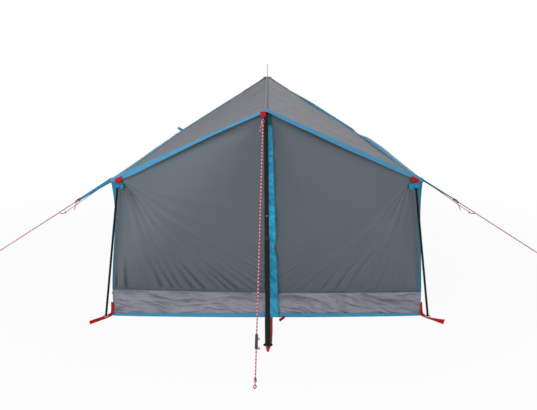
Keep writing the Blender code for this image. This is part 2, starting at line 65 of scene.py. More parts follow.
# Sizes that the frame was built from
FRONT_HALF, FLOOR_REACH, TUB_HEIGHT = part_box("tub_floor")[1]
FLOOR_HALF = {"front": FRONT_HALF, "rear": 0.665}
EAVE_HALF = {"front": 0.753, "rear": 0.645}
EAVE_HEIGHT = {"front": 0.689, "rear": 0.652}
PEAK_REACH = {"front": 1.45, "rear": 1.4135}
PEAK_HEIGHT = {"front": 1.069, "rear": 1.034}
RIDGE_SAG = 0.014
PANEL_SAG = 0.022
EAVE_TRIM_SHARE = 0.055
PANEL_SHARE = 1 - EAVE_TRIM_SHARE
BINDING_HEIGHT = (0.014, 0.0215)
FOOT_BOW = 0.026
SEAM_DROP = 0.012
SEAM_SAG = 0.01
WAIST = {-1: 0.017, 1: 0.009}
WALL_PEAK_REACH = {"front": 1.402, "rear": 1.38}
WALL_PEAK_DROP = 0.011
WALL_CORNER_DROP = 0.007
WALL_FOOT = TUB_HEIGHT + 0.0022
ROUND_OVER_FROM = 0.25
FOLD_DEPTH = 0.007
FOLD_COUNT = 7
FOLD_MIDDLE = 27
PIN_REACH = 1.43
BUTTON_HEIGHT = 0.614
PIN_FOOT = 1.026
CLOTH = 0.0007
TAPE_CLOTH = 0.0008
WEBBING = 0.0016

# Guy ropes: where each leaves its strap or tab, and where it reaches the ground
ROPE_RADIUS = 0.0025
ROPE_STEP = 0.003
BRAID_PITCH = 0.0065
ROPE_ENDS = {"front": (vec(-0.015, -1.459, 1.03), vec(-0.0455, -1.84, 0.0035)),
             "rear": (vec(0, 1.462, 1.02), vec(0, 1.76, 0.0035))}
CORNER_ROPE_ENDS = {"front": (vec(0.92336, -0.95119, 0.57746), vec(1.8, -0.7, 0.0035)),
                    "rear": (vec(0.81004, 1.05411, 0.53503), vec(1.56, 1.3, 0.0035))}


# Meshes

def new_object(name, data):
    made = bpy.data.objects.new(name, data)
    bpy.context.scene.collection.objects.link(made)
    return made


def running(points):
    """Distances along a row of points, from its first."""
    return list(accumulate(((b - a).length for a, b in zip(points, points[1:])), initial=0.0))


def grid_object(name, point, columns, rows, closed=False):
    """A smooth sheet placed by point(u, v), with its sizes in metres as UVs.

    Metres holds the place on the cloth, Hem the distances to its nearest edges, and Share runs 0 to 1.
    """
    points = [[point(i / columns, j / rows) for i in range(columns + 1)] for j in range(rows + 1)]
    across = running(points[rows // 2])
    along = running([row[columns // 2] for row in points])
    width, height = across[-1], along[-1]
    stride = columns + 1
    faces = [(k, k + 1, k + 1 + stride, k + stride)
             for j in range(rows) for k in range(j * stride, j * stride + columns)]
    mesh = bpy.data.meshes.new(name)
    mesh.from_pydata([place for row in points for place in row], [], faces)
    maps = [mesh.uv_layers.new(name=key) for key in ("Metres", "Hem", "Share")]
    for loop in mesh.loops:
        j, i = divmod(loop.vertex_index, stride)
        x, y = across[i], along[j]
        places = (x, y), (min(x, width - x), min(y, height - y)), (i / columns, j / rows)
        for layer, place in zip(maps, places):
            layer.data[loop.index].uv = place
    if closed:
        bm = bmesh.new()
        bm.from_mesh(mesh)
        bmesh.ops.remove_doubles(bm, verts=bm.verts, dist=0.00001)
        bm.to_mesh(mesh)
        bm.free()
    mesh.shade_smooth()
    made = new_object(name, mesh)
    made["cut"] = [max(running(row)[-1] for row in points),
                   max(running(column)[-1] for column in zip(*points)),
                   sum(face.area for face in mesh.polygons)]
    return made


def bm_object(name, bm, smooth=True, sharp=None):
    """The object of a bmesh. Where smooth, its edges stay sharp from an angle of sharp degrees."""
    if smooth:
        bmesh.ops.recalc_face_normals(bm, faces=bm.faces)
    mesh = bpy.data.meshes.new(name)
    bm.to_mesh(mesh)
    bm.free()
    if smooth:
        mesh.shade_smooth()
    if sharp:
        mesh.set_sharp_from_angle(angle=math.radians(sharp))
    return new_object(name, mesh)


def skin(rings, uv):
    """Faces over rings of points. uv(ring, step) is the Metres UV of a corner."""
    bm = bmesh.new()
    metres = bm.loops.layers.uv.new("Metres")
    rings = [[bm.verts.new(point) for point in ring] for ring in rings]
    sides = len(rings[0])
    for ring in range(len(rings) - 1):
        for step in range(sides):
            corners = ((ring, step), (ring, step + 1), (ring + 1, step + 1), (ring + 1, step))
            face = bm.faces.new([rings[r][s % sides] for r, s in corners])
            for loop, corner in zip(face.loops, corners):
                loop[metres].uv = uv(*corner)
    return bm, rings


def frame_along(path, index):
    """Two directions square to the path at a point, kept steady from end to end."""
    ahead = path[min(index + 1, len(path) - 1)] - path[max(index - 1, 0)]
    ahead.normalize()
    side = ahead.cross(UP if abs(ahead.z) < 0.9 else BACK).normalized()
    return side, side.cross(ahead)


def tube(name, path, radius, sides=8):
    """A closed tube along path. radius is a number, or gives one for a distance and a turn from 0 to 1."""
    distances = running(path)
    rings = []
    for index, (centre, distance) in enumerate(zip(path, distances)):
        side, up = frame_along(path, index)
        ring = []
        for turn in (step / sides for step in range(sides)):
            out = side * math.cos(math.tau * turn) + up * math.sin(math.tau * turn)
            ring.append(centre + out * (radius(distance, turn) if callable(radius) else radius))
        rings.append(ring)
    bm, rings = skin(rings, lambda ring, step: (distances[ring], step / sides))
    bm.faces.new(rings[0][::-1])
    bm.faces.new(rings[-1])
    return bm_object(name, bm)


def lathe(name, profile, base, direction, steps=32):
    """A turned solid from (radius, height) in millimetres, bottom to top."""
    turn = UP.rotation_difference(direction)
    angles = [math.tau * k / steps for k in range(steps)]
    rings = [[base + turn @ (vec(radius * math.cos(a), radius * math.sin(a), height) * MM) for a in angles]
             for radius, height in profile]
    bm, _ = skin(rings, lambda ring, step: (step / steps, profile[ring][1] * MM))
    bmesh.ops.remove_doubles(bm, verts=bm.verts, dist=0.000001)
    return bm_object(name, bm, sharp=40)


def map_flat(bm):
    metres = bm.loops.layers.uv.new("Metres")
    for face in bm.faces:
        for loop in face.loops:
            loop[metres].uv = loop.vert.co.xz


def cuboid(name, centre, x, y, z, bevel):
    """A rounded block from its centre and three half edges as vectors."""
    bm = bmesh.new()
    bmesh.ops.create_cube(bm, size=2)
    for vert in bm.verts:
        vert.co = centre + x * vert.co.x + y * vert.co.y + z * vert.co.z
    bmesh.ops.bevel(bm, geom=bm.edges[:], offset=bevel, segments=3, affect="EDGES", profile=0.6)
    map_flat(bm)
    return bm_object(name, bm, sharp=50)


def joined(name, things):
    """Several objects as one, under this name."""
    first = things[0]
    with bpy.context.temp_override(active_object=first, object=first, selected_objects=things,
                                   selected_editable_objects=things):
        bpy.ops.object.join()
    first.name = first.data.name = name
    return first


def arc(place, steps, turns=1):
    """The path of place(cosine, sine, share) round a circle, or round this many of its turns."""
    angles = [math.tau * turns * k / steps for k in range(steps + 1)]
    return [place(math.cos(a), math.sin(a), k / steps) for k, a in enumerate(angles)]


# Materials

GRAIN = 90
WEAVE_PITCH = 0.0016
STITCH_PITCH = 0.0045
STITCH_HALF_WIDTH = 0.0009
STITCH_SHARE = 0.68


def linear(channel):
    share = channel / 255
    return share / 12.92 if share <= 0.04045 else ((share + 0.055) / 1.055) ** 2.4


def rgb(*colour):
    return tuple(linear(channel) for channel in colour)


class Tree:
    """Short ways to add nodes round the shader of a new material, or of the world."""

    def __init__(self, owner, shader="Principled BSDF"):
        self.owner = owner
        owner.use_nodes = True
        self.nodes, self.links = owner.node_tree.nodes, owner.node_tree.links
        self.shader = self.nodes[shader]

    def fill(self, node, **inputs):
        """Link or set inputs by name, with _ for a space, or by i and their number."""
        for key, value in inputs.items():
            socket = node.inputs[int(key[1:]) if key[1:].isdigit() else key.replace("_", " ")]
            if isinstance(value, bpy.types.NodeSocket):
                self.links.new(value, socket)
            else:
                socket.default_value = value
        return node

    def add(self, kind, settings=None, **inputs):
        made = self.nodes.new("ShaderNode" + kind)
        for key, value in (settings or {}).items():
            setattr(made, key, value)
        return self.fill(made, **inputs)

    def finish(self, slot=None, **inputs):
        self.fill(self.shader, **inputs)
        return self.owner

    def math(self, operation, a, b=0):
        return self.add("Math", {"operation": operation}, i0=a, i1=b).outputs[0]

    def times(self, first, *factors):
        for factor in factors:
            first = self.math("MULTIPLY", first, factor)
        return first

    def plus(self, a, b):
        return self.math("ADD", a, b)

    def uv(self, name):
        place = self.add("UVMap", {"uv_map": name}).outputs[0]
        x, y, _ = self.add("SeparateXYZ", Vector=place).outputs
        return place, x, y

    def noise(self, vector, scale, detail=2, stretch=(1, 1, 1)):
        moved = self.add("Mapping", Vector=vector, Scale=stretch).outputs[0]
        return self.add("TexNoise", Vector=moved, Scale=scale, Detail=detail).outputs["Fac"]

    def ranged(self, value, low, high, to_low, to_high):
        return self.add("MapRange", Value=value, i1=low, i2=high, i3=to_low, i4=to_high).outputs[0]

    def around(self, value, low, high, middle, spread):
        return self.ranged(value, low, high, middle - spread, middle + spread)

    def ripple(self, value, pitch):
        return self.math("SINE", self.times(value, math.tau / pitch))

    def scaled(self, colour, share):
        return self.add("VectorMath", {"operation": "SCALE"}, i0=colour, Scale=share).outputs[0]

    def mixed(self, share, *colours):
        a, b = [(*colour, 1) if isinstance(colour, tuple) else colour for colour in colours]
        return self.add("Mix", {"data_type": "RGBA"}, i0=share, i6=a, i7=b).outputs[2]

    def bump(self, height, distance, strength, **under):
        return self.add("Bump", Height=height, Distance=distance, Strength=strength, **under).outputs[0]

    def dashes(self, edge, along, inset, pitch=STITCH_PITCH):
        """A row of stitches this far in from the edge."""
        off = self.math("ABSOLUTE", self.math("SUBTRACT", edge, inset))
        line = self.math("LESS_THAN", off, STITCH_HALF_WIDTH)
        run = self.math("FRACT", self.math("DIVIDE", along, pitch))
        return self.times(line, self.math("LESS_THAN", run, STITCH_SHARE))

    def seen(self):
        """1 for rays that the camera gets straight, off metal or through glass."""
        rays = self.add("LightPath").outputs
        either = self.math("MAXIMUM", rays["Is Camera Ray"], rays["Is Glossy Ray"])
        return self.math("MAXIMUM", either, rays["Is Transmission Ray"])


def new_tree(name):
    return Tree(bpy.data.materials.new(name))


def cloth_material(name, slot, colour, roughness, mottle_and_crumple_shade, crinkle=0.0006, hem=0.01, foot_painted_shade=1,
                   flow=(1, 0.55, 1), streaks=0):
    """Woven tent cloth: weave, crinkles with painted shade in their hollows, mottling, painted shade
    towards the foot, and hems with two rows of stitches.

    flow stretches the crinkles, and streaks darkens fine lines that run across the cloth. The mottle share
    sets both the random tone and the painted shade in the crinkles.
    """
    t = new_tree(name)
    metres, x, y = t.uv("Metres")
    _, edge_x, edge_y = t.uv("Hem")
    weave = t.times(t.ripple(x, WEAVE_PITCH), t.ripple(y, WEAVE_PITCH))
    crumple = t.noise(metres, 22, 4, flow)
    tone = t.times(t.around(t.noise(metres, 3.2, 3), 0.3, 0.7, 1, mottle_and_crumple_shade),
                   # The crinkle noise also darkens the colour in the crinkles' hollows: painted shade.
                   t.around(crumple, 0.35, 0.65, 1, mottle_and_crumple_shade * 0.4),
                   # Painted shade: the colour darkens towards the foot of the cloth.
                   t.ranged(t.uv("Share")[2], 0, 0.4, foot_painted_shade, 1))
    if streaks:
        lines = t.noise(metres, 9, 5, (0.1, 1.6, 1))
        tone = t.times(tone, t.around(lines, 0.36, 0.66, 1, streaks))
    stitches = t.math("MAXIMUM", t.dashes(edge_x, y, hem), t.dashes(edge_y, x, hem))
    folded = t.ranged(t.math("MINIMUM", edge_x, edge_y), hem * 1.15, hem * 1.25, 1, 0)
    tone = t.times(tone, t.math("SUBTRACT", 1, t.times(folded, 0.05)))
    normal = t.bump(crumple, crinkle * 4, 0.5)
    normal = t.bump(t.plus(folded, t.times(stitches, 0.8)), 0.0006, 0.6, Normal=normal)
    return t.finish(slot, Base_Color=t.scaled(rgb(*colour), t.plus(tone, t.times(stitches, 0.14))),
                    Roughness=t.around(crumple, 0.3, 0.7, roughness, 0.06),
                    Sheen_Weight=0.05, Sheen_Roughness=0.5, Specular_IOR_Level=0.35,
                    Normal=t.bump(weave, 0.00012, 0.35, Normal=normal))


def webbing_material(name, colour, worn):
    """Flat woven webbing: ribs along it, a herringbone across, worn pale edges and stitches."""
    t = new_tree(name)
    metres, x, y = t.uv("Metres")
    _, edge_x, edge_y = t.uv("Hem")
    ribs = t.ripple(x, 0.0024)
    picks = t.ripple(t.plus(y, t.math("PINGPONG", x, 0.0024)), 0.0016)
    wear = t.noise(metres, 60, 4)
    edge = t.ranged(t.math("MINIMUM", edge_x, edge_y), 0, 0.0022, 1, 0)
    stitches = t.dashes(edge_y, x, 0.006, 0.003)
    tone = t.times(t.ranged(wear, 0.3, 0.7, 0.86, 1.1), t.ranged(ribs, -1, 1, 0.9, 1.04))
    faded = t.math("MAXIMUM", t.times(edge, wear, 0.45), t.times(stitches, 0.5))
    normal = t.bump(t.plus(ribs, t.times(picks, 0.6)), 0.00025, 0.7)
    return t.finish(name, Base_Color=t.mixed(faded, t.scaled(rgb(*colour), tone), rgb(*worn)),
                    Roughness=0.72, Sheen_Weight=0.06, Specular_IOR_Level=0.25,
                    Normal=t.bump(stitches, 0.0005, 0.7, Normal=normal))


def rope_material():
    """A braided cord: red with a white fleck where two light strands cross."""
    t = new_tree("guy_rope_braid")
    _, along, turn = t.uv("Metres")
    run = t.math("DIVIDE", along, 0.0145)
    beat = t.math("COSINE", t.times(run, math.tau))
    around = t.math("COSINE", t.times(turn, 2 * math.tau))
    fleck = t.ranged(t.plus(beat, t.times(around, 0.35)), -0.05, 0.15, 0, 1)
    strand = t.times(*(t.ripple(t.math(way, run, t.times(turn, 4)), 0.5) for way in ("ADD", "SUBTRACT")))
    base = t.mixed(fleck, rgb(190, 44, 64), rgb(236, 190, 198))
    return t.finish("guy_rope", Base_Color=t.scaled(base, t.ranged(strand, -1, 1, 0.78, 1.06)),
                    Roughness=0.8, Normal=t.bump(strand, 0.0003, 0.8))


def hard_material(name, colour, roughness, scuff, scuffed=0.12, slot=None, metallic=0, specular=0.3,
                  tip=None):
    """Painted or moulded surface with grain, uneven gloss and pale scuffs. tip is (height, colour)."""
    t = new_tree(name)
    place = t.add("TexCoord").outputs["Object"]
    broad = t.noise(place, GRAIN * 0.25, 4)
    marks = t.ranged(t.noise(place, GRAIN, 5, (1, 1, 0.12)), 0.62, 0.72, 0, scuffed)
    base = t.mixed(marks, t.scaled(rgb(*colour), t.ranged(broad, 0.3, 0.7, 0.92, 1.06)), rgb(*scuff))
    if tip:
        height = t.add("SeparateXYZ", Vector=place).outputs[2]
        above = t.math("GREATER_THAN", height, tip[0])
        base = t.mixed(above, base, rgb(*tip[1]))
        metallic = t.times(above, 0.1)
    return t.finish(slot or name, Base_Color=base, Metallic=metallic, Specular_IOR_Level=specular,
                    Roughness=t.around(broad, 0.3, 0.7, roughness, 0.07),
                    Normal=t.bump(t.noise(place, GRAIN * 6, 3), 0.00015, 0.35))


ROOF = cloth_material("roof_cloth", "grey_roof_cloth", (94, 98, 106), 0.66, 0.05, streaks=0.05)
# Pale strip on the ridge seam's left: painted highlight.
RIDGE_PAINTED_HIGHLIGHT = cloth_material("ridge_painted_highlight", "grey_roof_cloth", (126, 128, 134), 0.66, 0.05)
# Dark strip on the ridge seam's right: painted shadow.
RIDGE_PAINTED_SHADOW = cloth_material("stitches", "grey_cap_cloth", (44, 46, 50), 0.7, 0.05)
CAP = cloth_material("cap_cloth", "grey_cap_cloth", (84, 87, 91), 0.66, 0.05)
# The wall's darker foot is painted shade.
WALL = cloth_material("wall_cloth", "grey_wall_cloth", (98, 108, 115), 0.7, 0.04, foot_painted_shade=0.95)
FACING = cloth_material("facing_cloth", "grey_wall_cloth", (104, 104, 114), 0.66, 0.04, hem=0.003)
TUB = cloth_material("tub_cloth", "grey_floor_sheet", (138, 139, 150), 0.58, 0.08, 0.0014,
                     flow=(0.34, 1.5, 1))
TRIM = cloth_material("trim_cloth", "blue_trim", (76, 151, 191), 0.66, 0.04, 0.0004, 0.003)
BINDING = cloth_material("binding_cloth", "blue_trim", (56, 141, 181), 0.66, 0.04, 0.0004, 0.003)
# The teal's strong mottle is painted shade of the flap's crumples as well as random tone.
TEAL = cloth_material("teal_cloth", "teal_cloth", (38, 156, 194), 0.52, 0.2, 0.0008)
SIDE = cloth_material("side_cloth", "teal_cloth", (38, 154, 192), 0.58, 0.06, 0.001)
STRAP = cloth_material("strap_cloth", "blue_trim", (30, 124, 158), 0.62, 0.06, 0.0004, 0.003)
# Dark teal for the storm flap's head under the binding: painted shade.
TEAL_PAINTED_SHADE = cloth_material("teal_painted_shade", "teal_cloth", (12, 92, 110), 0.62, 0.08)
RED = webbing_material("red_webbing", (198, 4, 10), (206, 40, 44))
ROPE = rope_material()
COATING = ((14, 16, 15), 0.46, (80, 84, 82), 0.08, "black_plastic", 0, 0.16)
POLE = hard_material("pole_coating", *COATING)
PIN_POLE = hard_material("pole_coating_with_pin", *COATING, tip=(PIN_FOOT, (228, 220, 220)))
BLACK = hard_material("black_plastic", (24, 25, 26), 0.45, (110, 110, 112), 0.1)
RED_PLASTIC = hard_material("red_plastic", (200, 12, 16), 0.38, (228, 110, 104), 0.1)
BLUE_PLASTIC = hard_material("blue_plastic", (34, 134, 176), 0.42, (170, 205, 225))
RING_PLASTIC = hard_material("ring_plastic", (196, 196, 200), 0.4, (230, 230, 232), slot="zip_metal")
STEEL = hard_material("steel", (176, 178, 182), 0.3, (210, 210, 212), 0.25, "zip_metal", 1)


# Pieces

def paint(thing, material):
    thing.data.materials.clear()
    thing.data.materials.append(material)


def dress(thing, material, nodes=(), body="root"):
    """Material, body and replaced nodes of a piece. Without a body, it stays unattached."""
    paint(thing, material)
    if body:
        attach(thing, body)
    if nodes:
        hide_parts(*nodes)
    return thing


def cloth_piece(name, point, columns, rows, material, nodes=(), body="root",
                thickness=CLOTH, closed=False):
    """Cloth placed by point(u, v)."""
    made = grid_object(name, point, columns, rows, closed)
    solid = made.modifiers.new("thickness", "SOLIDIFY")
    solid.thickness = thickness
    solid.offset = 0
    solid.use_even_offset = False
    return dress(made, material, nodes, body)


def ribbon(name, path, halves, material, nodes=(), thickness=WEBBING, columns=4, bow=0):
    """A strap along path, with half its width as vectors. bow lifts its middle above its edges."""
    last = len(path) - 1

    def point(u, v):
        row = min(int(v * last), last - 1)
        part = v * last - row
        middle = path[row].lerp(path[row + 1], part)
        half = halves[row].lerp(halves[row + 1], part)
        normal = half.cross(path[row + 1] - path[row]).normalized()
        return middle + half * (2 * u - 1) + normal * (bow * 4 * u * (1 - u))

    made = cloth_piece(name, point, columns, last * 6, material, nodes, thickness=thickness)
    edge = made.modifiers.new("edge", "BEVEL")
    edge.width = thickness * 0.3
    edge.segments = 2


# Forms shared with the frame

def span(low, high, share):
    return low + (high - low) * share


def middle_of(node):
    low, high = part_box(node)
    return (low + high) / 2


def side_of(across):
    return -1 if across < 0 else 1


def blend4(a, b, c, d, u, v):
    """The point of a four-cornered patch: a and b at v = 0, d and c at v = 1."""
    return a.lerp(b, u).lerp(d.lerp(c, u), v)


def half_sine(share):
    return math.sin(math.pi * share)


def bell(distance, width):
    return math.exp(-(distance / width) ** 2)


def wrinkle(x, y, seed):
    """Smooth noise from -1 to 1 at a place on the cloth."""
    return noise.noise(vec(x, y, seed))


def ridged(x, y, seed):
    """Noise with sharp crests, from about -1 to 1."""
    return 1 - 3.2 * abs(wrinkle(x, y, seed))


def fade(distance, width):
    """0 at an edge, rising to 1 at this distance from it."""
    share = max(0, min(1, distance / width))
    return share * share * (3 - 2 * share)


def inside(u, v, left, right, foot, top):
    """0 at the edges of the cloth, rising to 1 over these widths."""
    return fade(u, left) * fade(1 - u, right) * fade(v, foot) * fade(1 - v, top)


def place_at(end, side, x, y, z=0):
    """The place this far out to the side and to the end of the tent."""
    return vec(side * x, END_SIGN[end] * y, z)


def eave_corner(end, side):
    return place_at(end, side, EAVE_HALF[end], FLOOR_REACH, EAVE_HEIGHT[end])


def roof_peak(end):
    return place_at(end, 0, 0, PEAK_REACH[end], PEAK_HEIGHT[end])


def gable_edge(end, side, share):
    """The roof's edge, from the peak (0) to the corner (1)."""
    return roof_peak(end).lerp(eave_corner(end, side), share)


def roof_normal(side):
    slope = math.atan2(PEAK_HEIGHT["front"] - EAVE_HEIGHT["front"], EAVE_HALF["front"])
    return vec(side * math.sin(slope), 0, math.cos(slope))


def roof_point(side, u, v):
    """The roof from the ridge (u = 0) to the eave (u = 1), from the front (v = 0) to the rear."""
    flat = blend4(roof_peak("front"), eave_corner("front", side),
                  eave_corner("rear", side), roof_peak("rear"), u, v)
    return flat - vec(0, 0, half_sine(v) * (RIDGE_SAG * (1 - u) + PANEL_SAG * half_sine(u)))


def wall_corners(end, side):
    """The corners of half a gable wall: foot centre, foot corner, top corner and peak."""
    return (place_at(end, 0, 0, FLOOR_REACH, WALL_FOOT),
            place_at(end, side, FLOOR_HALF[end] - 0.0015, FLOOR_REACH, WALL_FOOT),
            eave_corner(end, side) + place_at(end, side, -0.0035, -0.001, -WALL_CORNER_DROP),
            place_at(end, 0, 0, WALL_PEAK_REACH[end], PEAK_HEIGHT[end] - WALL_PEAK_DROP))


def wall_point(end, side, u, v):
    """Half a gable wall, rounded over the line from its peak to its foot corner."""
    centre, foot, top, peak = wall_corners(end, side)
    below = u * v
    above = (1 - u) * (1 - v)
    rounded = 2 * below * above / (below + above) if below + above > 0 else 0
    lift = span(min(below, above), rounded, fade(u, ROUND_OVER_FROM))
    point = blend4(centre, foot, top, peak, u, v) + (peak + foot - centre - top) * lift
    gap = WALL_PEAK_DROP * (1 - u) + WALL_CORNER_DROP * u
    if end == "front":
        point.z -= seam_drop(point.x, -FLOOR_REACH) * (1 - v) ** 3
        gap *= fade(u - 0.05, 0.1)
    point.z += 0.65 * gap * fade(v - 0.97, 0.03)
    return point


def waist(side, v):
    """How far a wall's outer edge is drawn in between the eave and the floor."""
    return WAIST[side] * half_sine(v ** 1.8)


def middle_share(x):
    """1 in the middle of the floor's front edge, falling to 0 at its corners."""
    return max(0, math.cos(math.pi * x / (2 * FRONT_HALF)))


def foot_bow(x, height_share):
    """How far the tub's front and rear bulge outwards along the ground."""
    return FOOT_BOW * middle_share(x) ** 0.7 * (1 - height_share)


def seam_drop(x, y):
    """How far the seam between wall and tub hangs down, along the front and the right side."""
    share = (x / FRONT_HALF + 1) / 2
    front = max(0, -y / FLOOR_REACH) ** 2
    return front * (SEAM_DROP * fade(share, 1) + SEAM_SAG * half_sine(max(0, min(share, 1))))


def creases(across, along, lines):
    """Crisp folds that run from one point. Each line is (angle in degrees, height in mm, reach, bend)."""
    reach = math.hypot(across, along)
    angle = math.atan2(along, across)
    total = 0
    for degrees, height, length, bend in lines:
        off = reach * (angle - math.radians(degrees) - bend * reach)
        total += height * MM * bell(off, 0.0032 + 0.032 * reach) * bell(reach, length)
    return total * fade(reach, 0.02)


def fold(u, v, window):
    """The main folds, which fan out from the top corner."""
    angle = math.atan2(1 - v, 1 - u)
    return FOLD_DEPTH * FOLD_MIDDLE * window * math.sin(2 * FOLD_COUNT * angle)


# Roof

EAVE_PUFF = {"left": 0.008, "right": 0.026}


def roof_relief(side, u, v):
    """Tension ripples from the rear peak to the front corner, and soft dents between them."""
    ripples = wrinkle((u * 0.85 + v * 0.12) * 24 + side * 5, v * 1.6, 3 + side) * 0.0016
    level = wrinkle(v * 9 - u * 1.2, u * 1.3, 5 + side) * 0.005
    fine = ridged(v * 21 - u * 2, u * 2.4, 9 + side) * 0.001
    dents = wrinkle(u * 3, v * 4, 20 + side) * 0.006
    across, along = (1 - u) * 0.85, v * 2.4
    corner = math.hypot(across, along)
    fan = math.sin(math.atan2(along, across + 0.001) * 18) * 0.0022 * math.exp(-corner / 0.16)
    window = inside(u, v, 0.05, 0.06, 0.03, 0.03)
    return window * (ripples + level + fine + dents + fan * fade(corner, 0.05))


def make_roof():
    """Both panels, each with its eave trim: a wide hem band with a sewn groove along its middle."""
    for word, side in SIDE_SIGN.items():
        normal = roof_normal(side)

        def panel(u, v):
            return roof_point(side, u * PANEL_SHARE, v) + normal * roof_relief(side, u, v)

        def trim(u, v):
            point = roof_point(side, span(PANEL_SHARE - 0.004, 1, u), v)
            groove = -0.0022 * bell(u - 0.36, 0.07)
            puff = EAVE_PUFF[word] * min(0.1 + 1.8 * v, 1) * fade(1 - v, 0.3)
            puff *= half_sine(min(u * 1.35, 1)) ** 0.7
            ease = wrinkle(v * 42, u * 3, 31 + side) * 0.0012 * fade(1 - u, 0.2)
            return point + normal * (0.0012 + puff + groove + ease)

        cloth_piece("roof_cloth_" + word, panel, 90, 150, ROOF, ["roof_panel_" + word])
        cloth_piece("eave_band_" + word, trim, 14, 160, TRIM, ["eave_trim_" + word])
    make_ridge_seam()
    for end in END_SIGN:
        make_edge_trim(end)
    make_peak_cap()


def on_ridge(across, v, proud):
    """A place on the felled seam, whose half width across runs from -1 to 1."""
    point = roof_point(1, 0, v)
    point.x = across * 0.009 - 0.001
    u = 0.5 + across / 2
    bead = 0.0034 * half_sine(min(u / 0.62, 1)) ** 0.6 + 0.0012 * half_sine(max(0, u - 0.62) / 0.38) ** 0.6
    point.z += 0.0012 + bead * (1 - 0.8 * fade(v - 0.93, 0.06)) - 0.004 * abs(across) + proud
    return point


def make_ridge_seam():
    """The felled seam along the ridge: a low double bead, a pale strip on its left as painted highlight,
    and a dark strip on its right as painted shadow.
    """
    for name, material, left, right, proud in (("ridge_seam", ROOF, -1, 1, 0),
                                               ("ridge_highlight_strip", RIDGE_PAINTED_HIGHLIGHT, -0.86, -0.26, 0.001),
                                               ("ridge_shadow_strip", RIDGE_PAINTED_SHADOW, 0.24, 0.84, 0.001)):
        cloth_piece(name, lambda u, v: on_ridge(span(left, right, u), v, proud), 12, 120, material,
                    thickness=TAPE_CLOTH)


# Depth in millimetres of the gable binding on each side, by its share from the peak to the corner
TRIM_DROPS = {-1: ((0, 7), (0.3, 6), (0.42, 8.5), (0.5, 12), (0.64, 17), (0.84, 25), (1, 18)),
              1: ((0, 7), (0.1, 11), (0.22, 13), (0.49, 17.5), (0.62, 16.5), (0.8, 17), (1, 15))}
BEAD = 0.0026
CORNER_BEAD = {"front": {-1: BEAD, 1: BEAD}, "rear": {-1: 0.0046, 1: 0.012}}


def trim_drop(side, share):
    for (low, before), (high, after) in zip(TRIM_DROPS[side], TRIM_DROPS[side][1:]):
        if share <= high:
            return span(before, after, fade(share - low, high - low)) * MM
    return TRIM_DROPS[side][-1][1] * MM


def make_edge_trim(end):
    """The binding folded over a gable edge, with a bead along it, deeper towards the corners."""
    sign = END_SIGN[end]

    def gable(u, v):
        across = 2 * u - 1
        side, share = side_of(across), abs(across)
        edge = gable_edge(end, side, share)
        bead = span(BEAD, CORNER_BEAD[end][side], fade(share - 0.22, 0.3) * fade(1 - share, 0.06))
        bead *= 1 - 0.75 * bell(share, 0.09) * (end == "rear")
        if v < 0.2:
            return edge + vec(0, -sign * (2 * bead + 0.01 * (1 - v / 0.2)), 0.0016)
        if v < 0.5:
            turn = (v - 0.2) / 0.3 * math.pi
            swell = 1 + 0.06 * wrinkle(across * 30, 0, 45)
            return edge + vec(0, -sign * bead * (1 + math.cos(turn)) + sign * BEAD * (v - 0.2) / 0.3,
                              0.0016 + 1.4 * bead * swell * math.sin(turn))
        down = (v - 0.5) / 0.5
        ease = wrinkle(across * 22, down * 1.5, 40) * 0.0012 * down
        return edge + vec(0, sign * (BEAD + ease), 0.0016 - (trim_drop(side, share) + 0.0024) * down)

    cloth_piece(end + "_edge_binding", gable, 180, 20, TRIM, [end + "_edge_trim"],
                thickness=0.001)


PATCH_REACH = (-0.185, 0.155)
EYELET = ((4.2, 0), (8.5, 0), (9.2, 0.6), (8.5, 1.4), (6, 2), (4.2, 1.4), (4.2, 0))


def make_peak_cap():
    """The patch over the rear peak, with a metal eyelet round the pole's pin."""
    low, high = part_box("rear_peak_cap")
    half, ridge = high.x, high.z - 0.0008
    slope = (ridge - low.z) / half

    def cap(u, v):
        across = 2 * u - 1
        place = half * across * (1 - 0.25 * (1 - v))
        taut = fade(v - 0.55, 0.15) * fade(0.036 - abs(place), 0.014)
        shoulder = slope * span(math.hypot(place, 0.01) - 0.004, 0.0095, taut)
        lap = max(0, v - 0.9) / 0.1
        back = span(low.y, high.y + 0.003, min(v / 0.9, 1)) - 0.014 * across ** 4 * v
        return vec(place, back, ridge + 0.001 - shoulder - 0.0012 * half_sine(v) - 0.012 * lap)

    def patch(u, v):
        across = span(*PATCH_REACH, u)
        edge = gable_edge("rear", side_of(across), abs(across) / EAVE_HALF["rear"])
        turn = max(0, v - 0.5) * 2
        inward = 0.024 * (1 - min(v * 2, 1)) - 0.0054 * min(turn * 2.5, 1)
        drop = 0.0225 * max(0, turn - 0.2) / 0.8
        rise = (0.0038 + 0.0034 * min(v * 2, 1)) * (1 - 0.8 * bell(across, 0.014))
        return edge + vec(0, -inward, rise - drop)

    cloth_piece("peak_cap", cap, 24, 20, CAP, ["rear_peak_cap"], thickness=0.0012)
    cloth_piece("peak_edge_patch", patch, 60, 14, CAP, thickness=TAPE_CLOTH)
    dress(lathe("peak_eyelet", EYELET, vec(0, PIN_REACH, ridge - 0.0052), UP), STEEL)


# Front and rear walls

FRONT_EDGE = {-1: 0.0085, 1: 0.0035}
STRENGTH = {-1: 1, 1: 0.35}
WALL_SEED = {-1: 2, 1: 52}
FOLD_SHARE = {-1: 0.32, 1: 0.4}
REAR_FOLD_SHARE = 0.5
FAN_IN = 0.064
CORNER_CREASES = ((24, 4, 0.1, 0.1), (36, -6, 0.14, 0.1), (44, 13, 0.12, 0.1), (49, -11, 0.16, 0.1),
                  (54, 20, 0.14, 0.1), (60, -15, 0.2, 0.1), (67, 12, 0.15, 0.1), (75, -9, 0.2, 0),
                  (84, 8, 0.16, 0), (94, -6, 0.16, 0))


